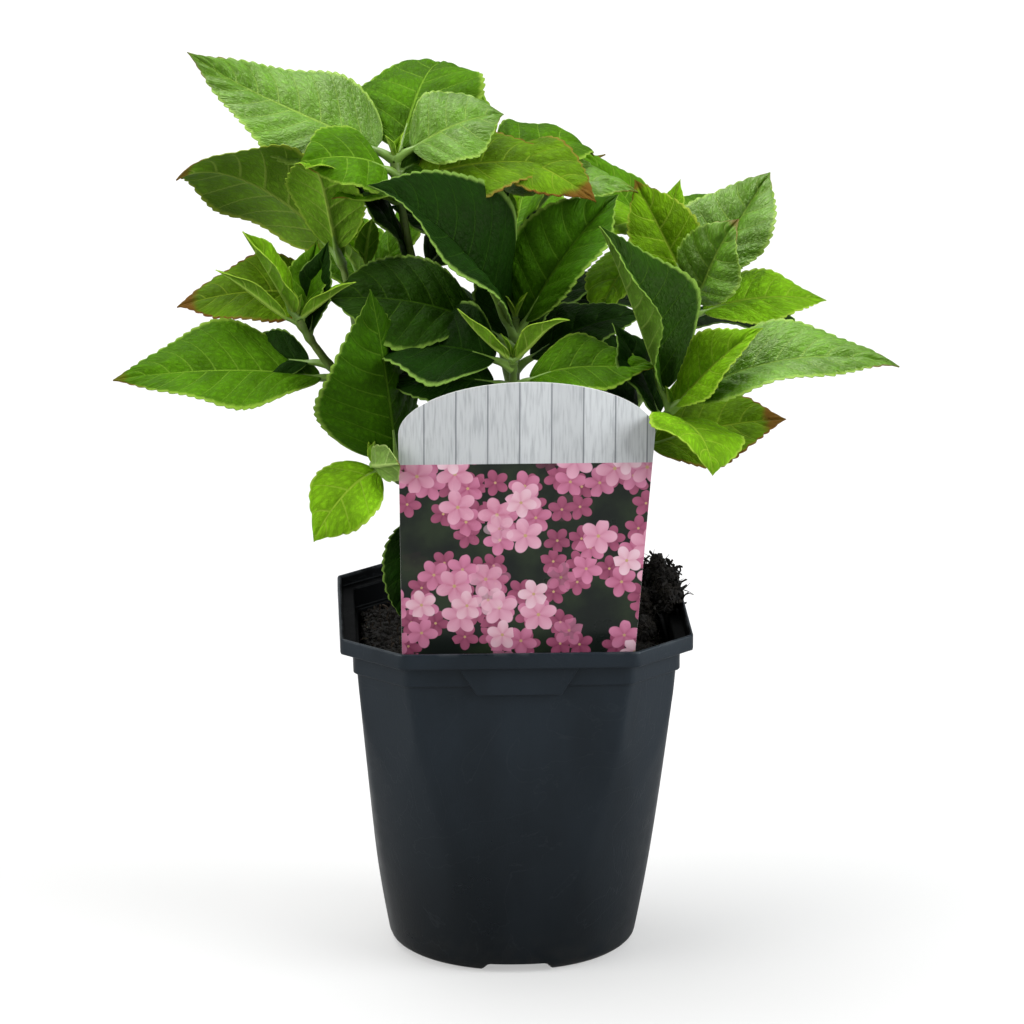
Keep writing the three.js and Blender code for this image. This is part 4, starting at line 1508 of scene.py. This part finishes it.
# %% Stem finishes
def make_stem_finish():
    material, tree, shader = start_material("stem_green", Roughness=0.5)
    place = object_place(tree)
    cloud = use_group(tree, MOTTLE, Scale=120.0, Low=0.8, High=1.2, Stretch=0.4)
    pores = put(tree, "ShaderNodeTexVoronoi", {"Vector": place, "Scale": 620.0, "Randomness": 1.0})
    spot = smooth(pores.outputs["Distance"], 0.12, 0.26, 1.0, 0.0)
    woody = plus(smooth(split(place)["Z"], 0.135, 0.2, 1.0, 0.0), times(cloud["Mask"], 0.35))
    color = blend(calc("MINIMUM", woody, 1.0), (0.12, 0.22, 0.03, 1), (0.15, 0.115, 0.055, 1))
    color = blend(times(spot, 0.55), tinted(color, cloud["Tone"]), (0.07, 0.035, 0.03, 1))
    grain = use_group(tree, GRAIN, Scale=1400.0, Stretch=0.25, Scratches=0.1)
    feed(shader, Base_Color=color, Normal=bump(grain["Height"], 0.0002, 0.6))
    return material


STEM_GREEN = make_stem_finish()
STALK_GREEN = plain_finish("stalk_green", (0.17, 0.30, 0.045, 1), dict(Scale=200.0, Low=0.85, High=1.15),
                           (0.36, 0.5))
BARK = plain_finish("crown_bark", (0.17, 0.12, 0.075, 1),
                    dict(Scale=300.0, Low=0.55, High=1.35, Stretch=0.3), (0.85, 0.85),
                    dict(Scale=900.0, Stretch=0.25, Scratches=0.3), (0.0008, 0.9))
print("stem finishes:", STEM_GREEN.name, STALK_GREEN.name, BARK.name)

# %% Stems
STEM_STEP = 1.1
STEM_SUNK = 4.5  # how deep a stem's foot is set in the crown
JOINT_SPACE = 24  # millimetres between the scars of fallen leaf pairs
JOINT_SWELL, JOINT_WAIST = 0.42, 0.1


def stem_line(name):
    hull = CURVES[name]
    total = measured(hull)[1][-1]
    start = BOUGH_FOOT if "parent" in SHOOTS[name] else STEM_FOOT
    reached = np.arange(0, total, STEM_STEP)
    points = bezier(hull, at_length(hull, reached))
    radii = start + (STEM_TIP - start) * reached / total
    joints = sorted({row[0] for row in ROWS[name]})
    joints += [joints[-1] + JOINT_SPACE * k for k in range(1, 8)]
    for down in joints:
        radii = radii + JOINT_SWELL * np.exp(-((total - down - reached) / 1.5) ** 2)
        radii = radii - JOINT_WAIST * np.exp(-((total - down - 3.0 - reached) / 1.0) ** 2)
    if "parent" not in SHOOTS[name]:
        sunk = points[0] - np.array([0, 0, STEM_SUNK])
        points = np.concatenate([[sunk], points])
        radii = np.concatenate([[start * 1.5], radii])
        radii[1:6] += np.linspace(0.8, 0, 5)
    return points, np.maximum(radii, 0.5)


stems = sweep("stems", [stem_line(name) for name in SHOOTS], 16, 0.35, 420.0, STEM_GREEN)
limbs = [("bough_" if "parent" in SHOOTS[name] else "stem_") + name for name in SHOOTS]
finish_piece(stems, limbs)
print("stem triangles:", faces_of(stems))


# %% Leaf stalks
def stalk_line(name, row):
    hull = CURVES[name]
    total = measured(hull)[1][-1]
    rib = leaf_rib(bezier(hull, at_length(hull, total - row[0])), row)
    length, half, roll = row[3], row[4], row[7]
    side = leaf_axes(row[1], row[2], roll)[2]
    stalk = stalk_share(length)
    t = np.linspace(0.0, stalk + 0.16, 14)
    points = bezier(rib, t)
    normal = np.cross(tangent(rib, t), side)
    thick = min(1.45, 0.35 + 0.05 * half + 0.004 * length)
    share = np.linspace(0, 1, 14)
    radii = thick * (1.15 - 0.8 * step(share, 0.1, 1.0)) + 0.35 * thick * np.exp(-(share / 0.12) ** 2)
    sink = radii * step(t, stalk * 0.6, stalk + 0.05)
    return points - normal * (0.85 * sink)[:, None], radii


stalks = sweep("leaf_stalks", [stalk_line(name, row) for name in SHOOTS for row in ROWS[name]],
               10, 0.12, 700.0, STALK_GREEN)
finish_piece(stalks)
print("stalk triangles:", faces_of(stalks))

# %% [markdown]
# ## The woody crown
# All stems spring from a short knobbly stump, cut back year after year, that sits in the peat. It
# is a skin of rings that flares towards the soil, broken up by noise that is stretched upwards
# like bark.


# %% Root crown
def make_crown():
    rings = []
    for i in range(19):
        share = i / 18
        z = SOIL_TOP - 1.5 + (CROWN_TOP - SOIL_TOP + 1.5) * min(1, share * 1.2)
        radius = CROWN_WAIST + (CROWN_BASE - CROWN_WAIST) * math.exp(-share * 6)
        radius *= math.cos(max(0, share - 0.8) / 0.2 * math.pi / 2 * 0.96)
        ring = circle(0, 0, z, radius, 96)
        for p in ring:
            lump = noise.fractal(Vector((p[0] / 4, p[1] / 4, p[2] / 16)), 1.0, 2.0, 4)
            p[:2] *= 1 + 0.09 * lump
            p[2] += 0.9 * noise.noise(Vector((p[0] / 3, p[1] / 3, 5.0))) * (share > 0.3)
        rings.append(ring)
    points, faces = capped_skin(rings)
    crown = mesh_object("crown", points, faces, [BARK], 180)
    return finish_piece(crown, ["root_crown"])


crown = make_crown()
print("crown triangles:", faces_of(crown))

# %% [markdown]
# ## The last update
# The view layer is brought up to date once more.

# %% Last update
bpy.context.view_layer.update()
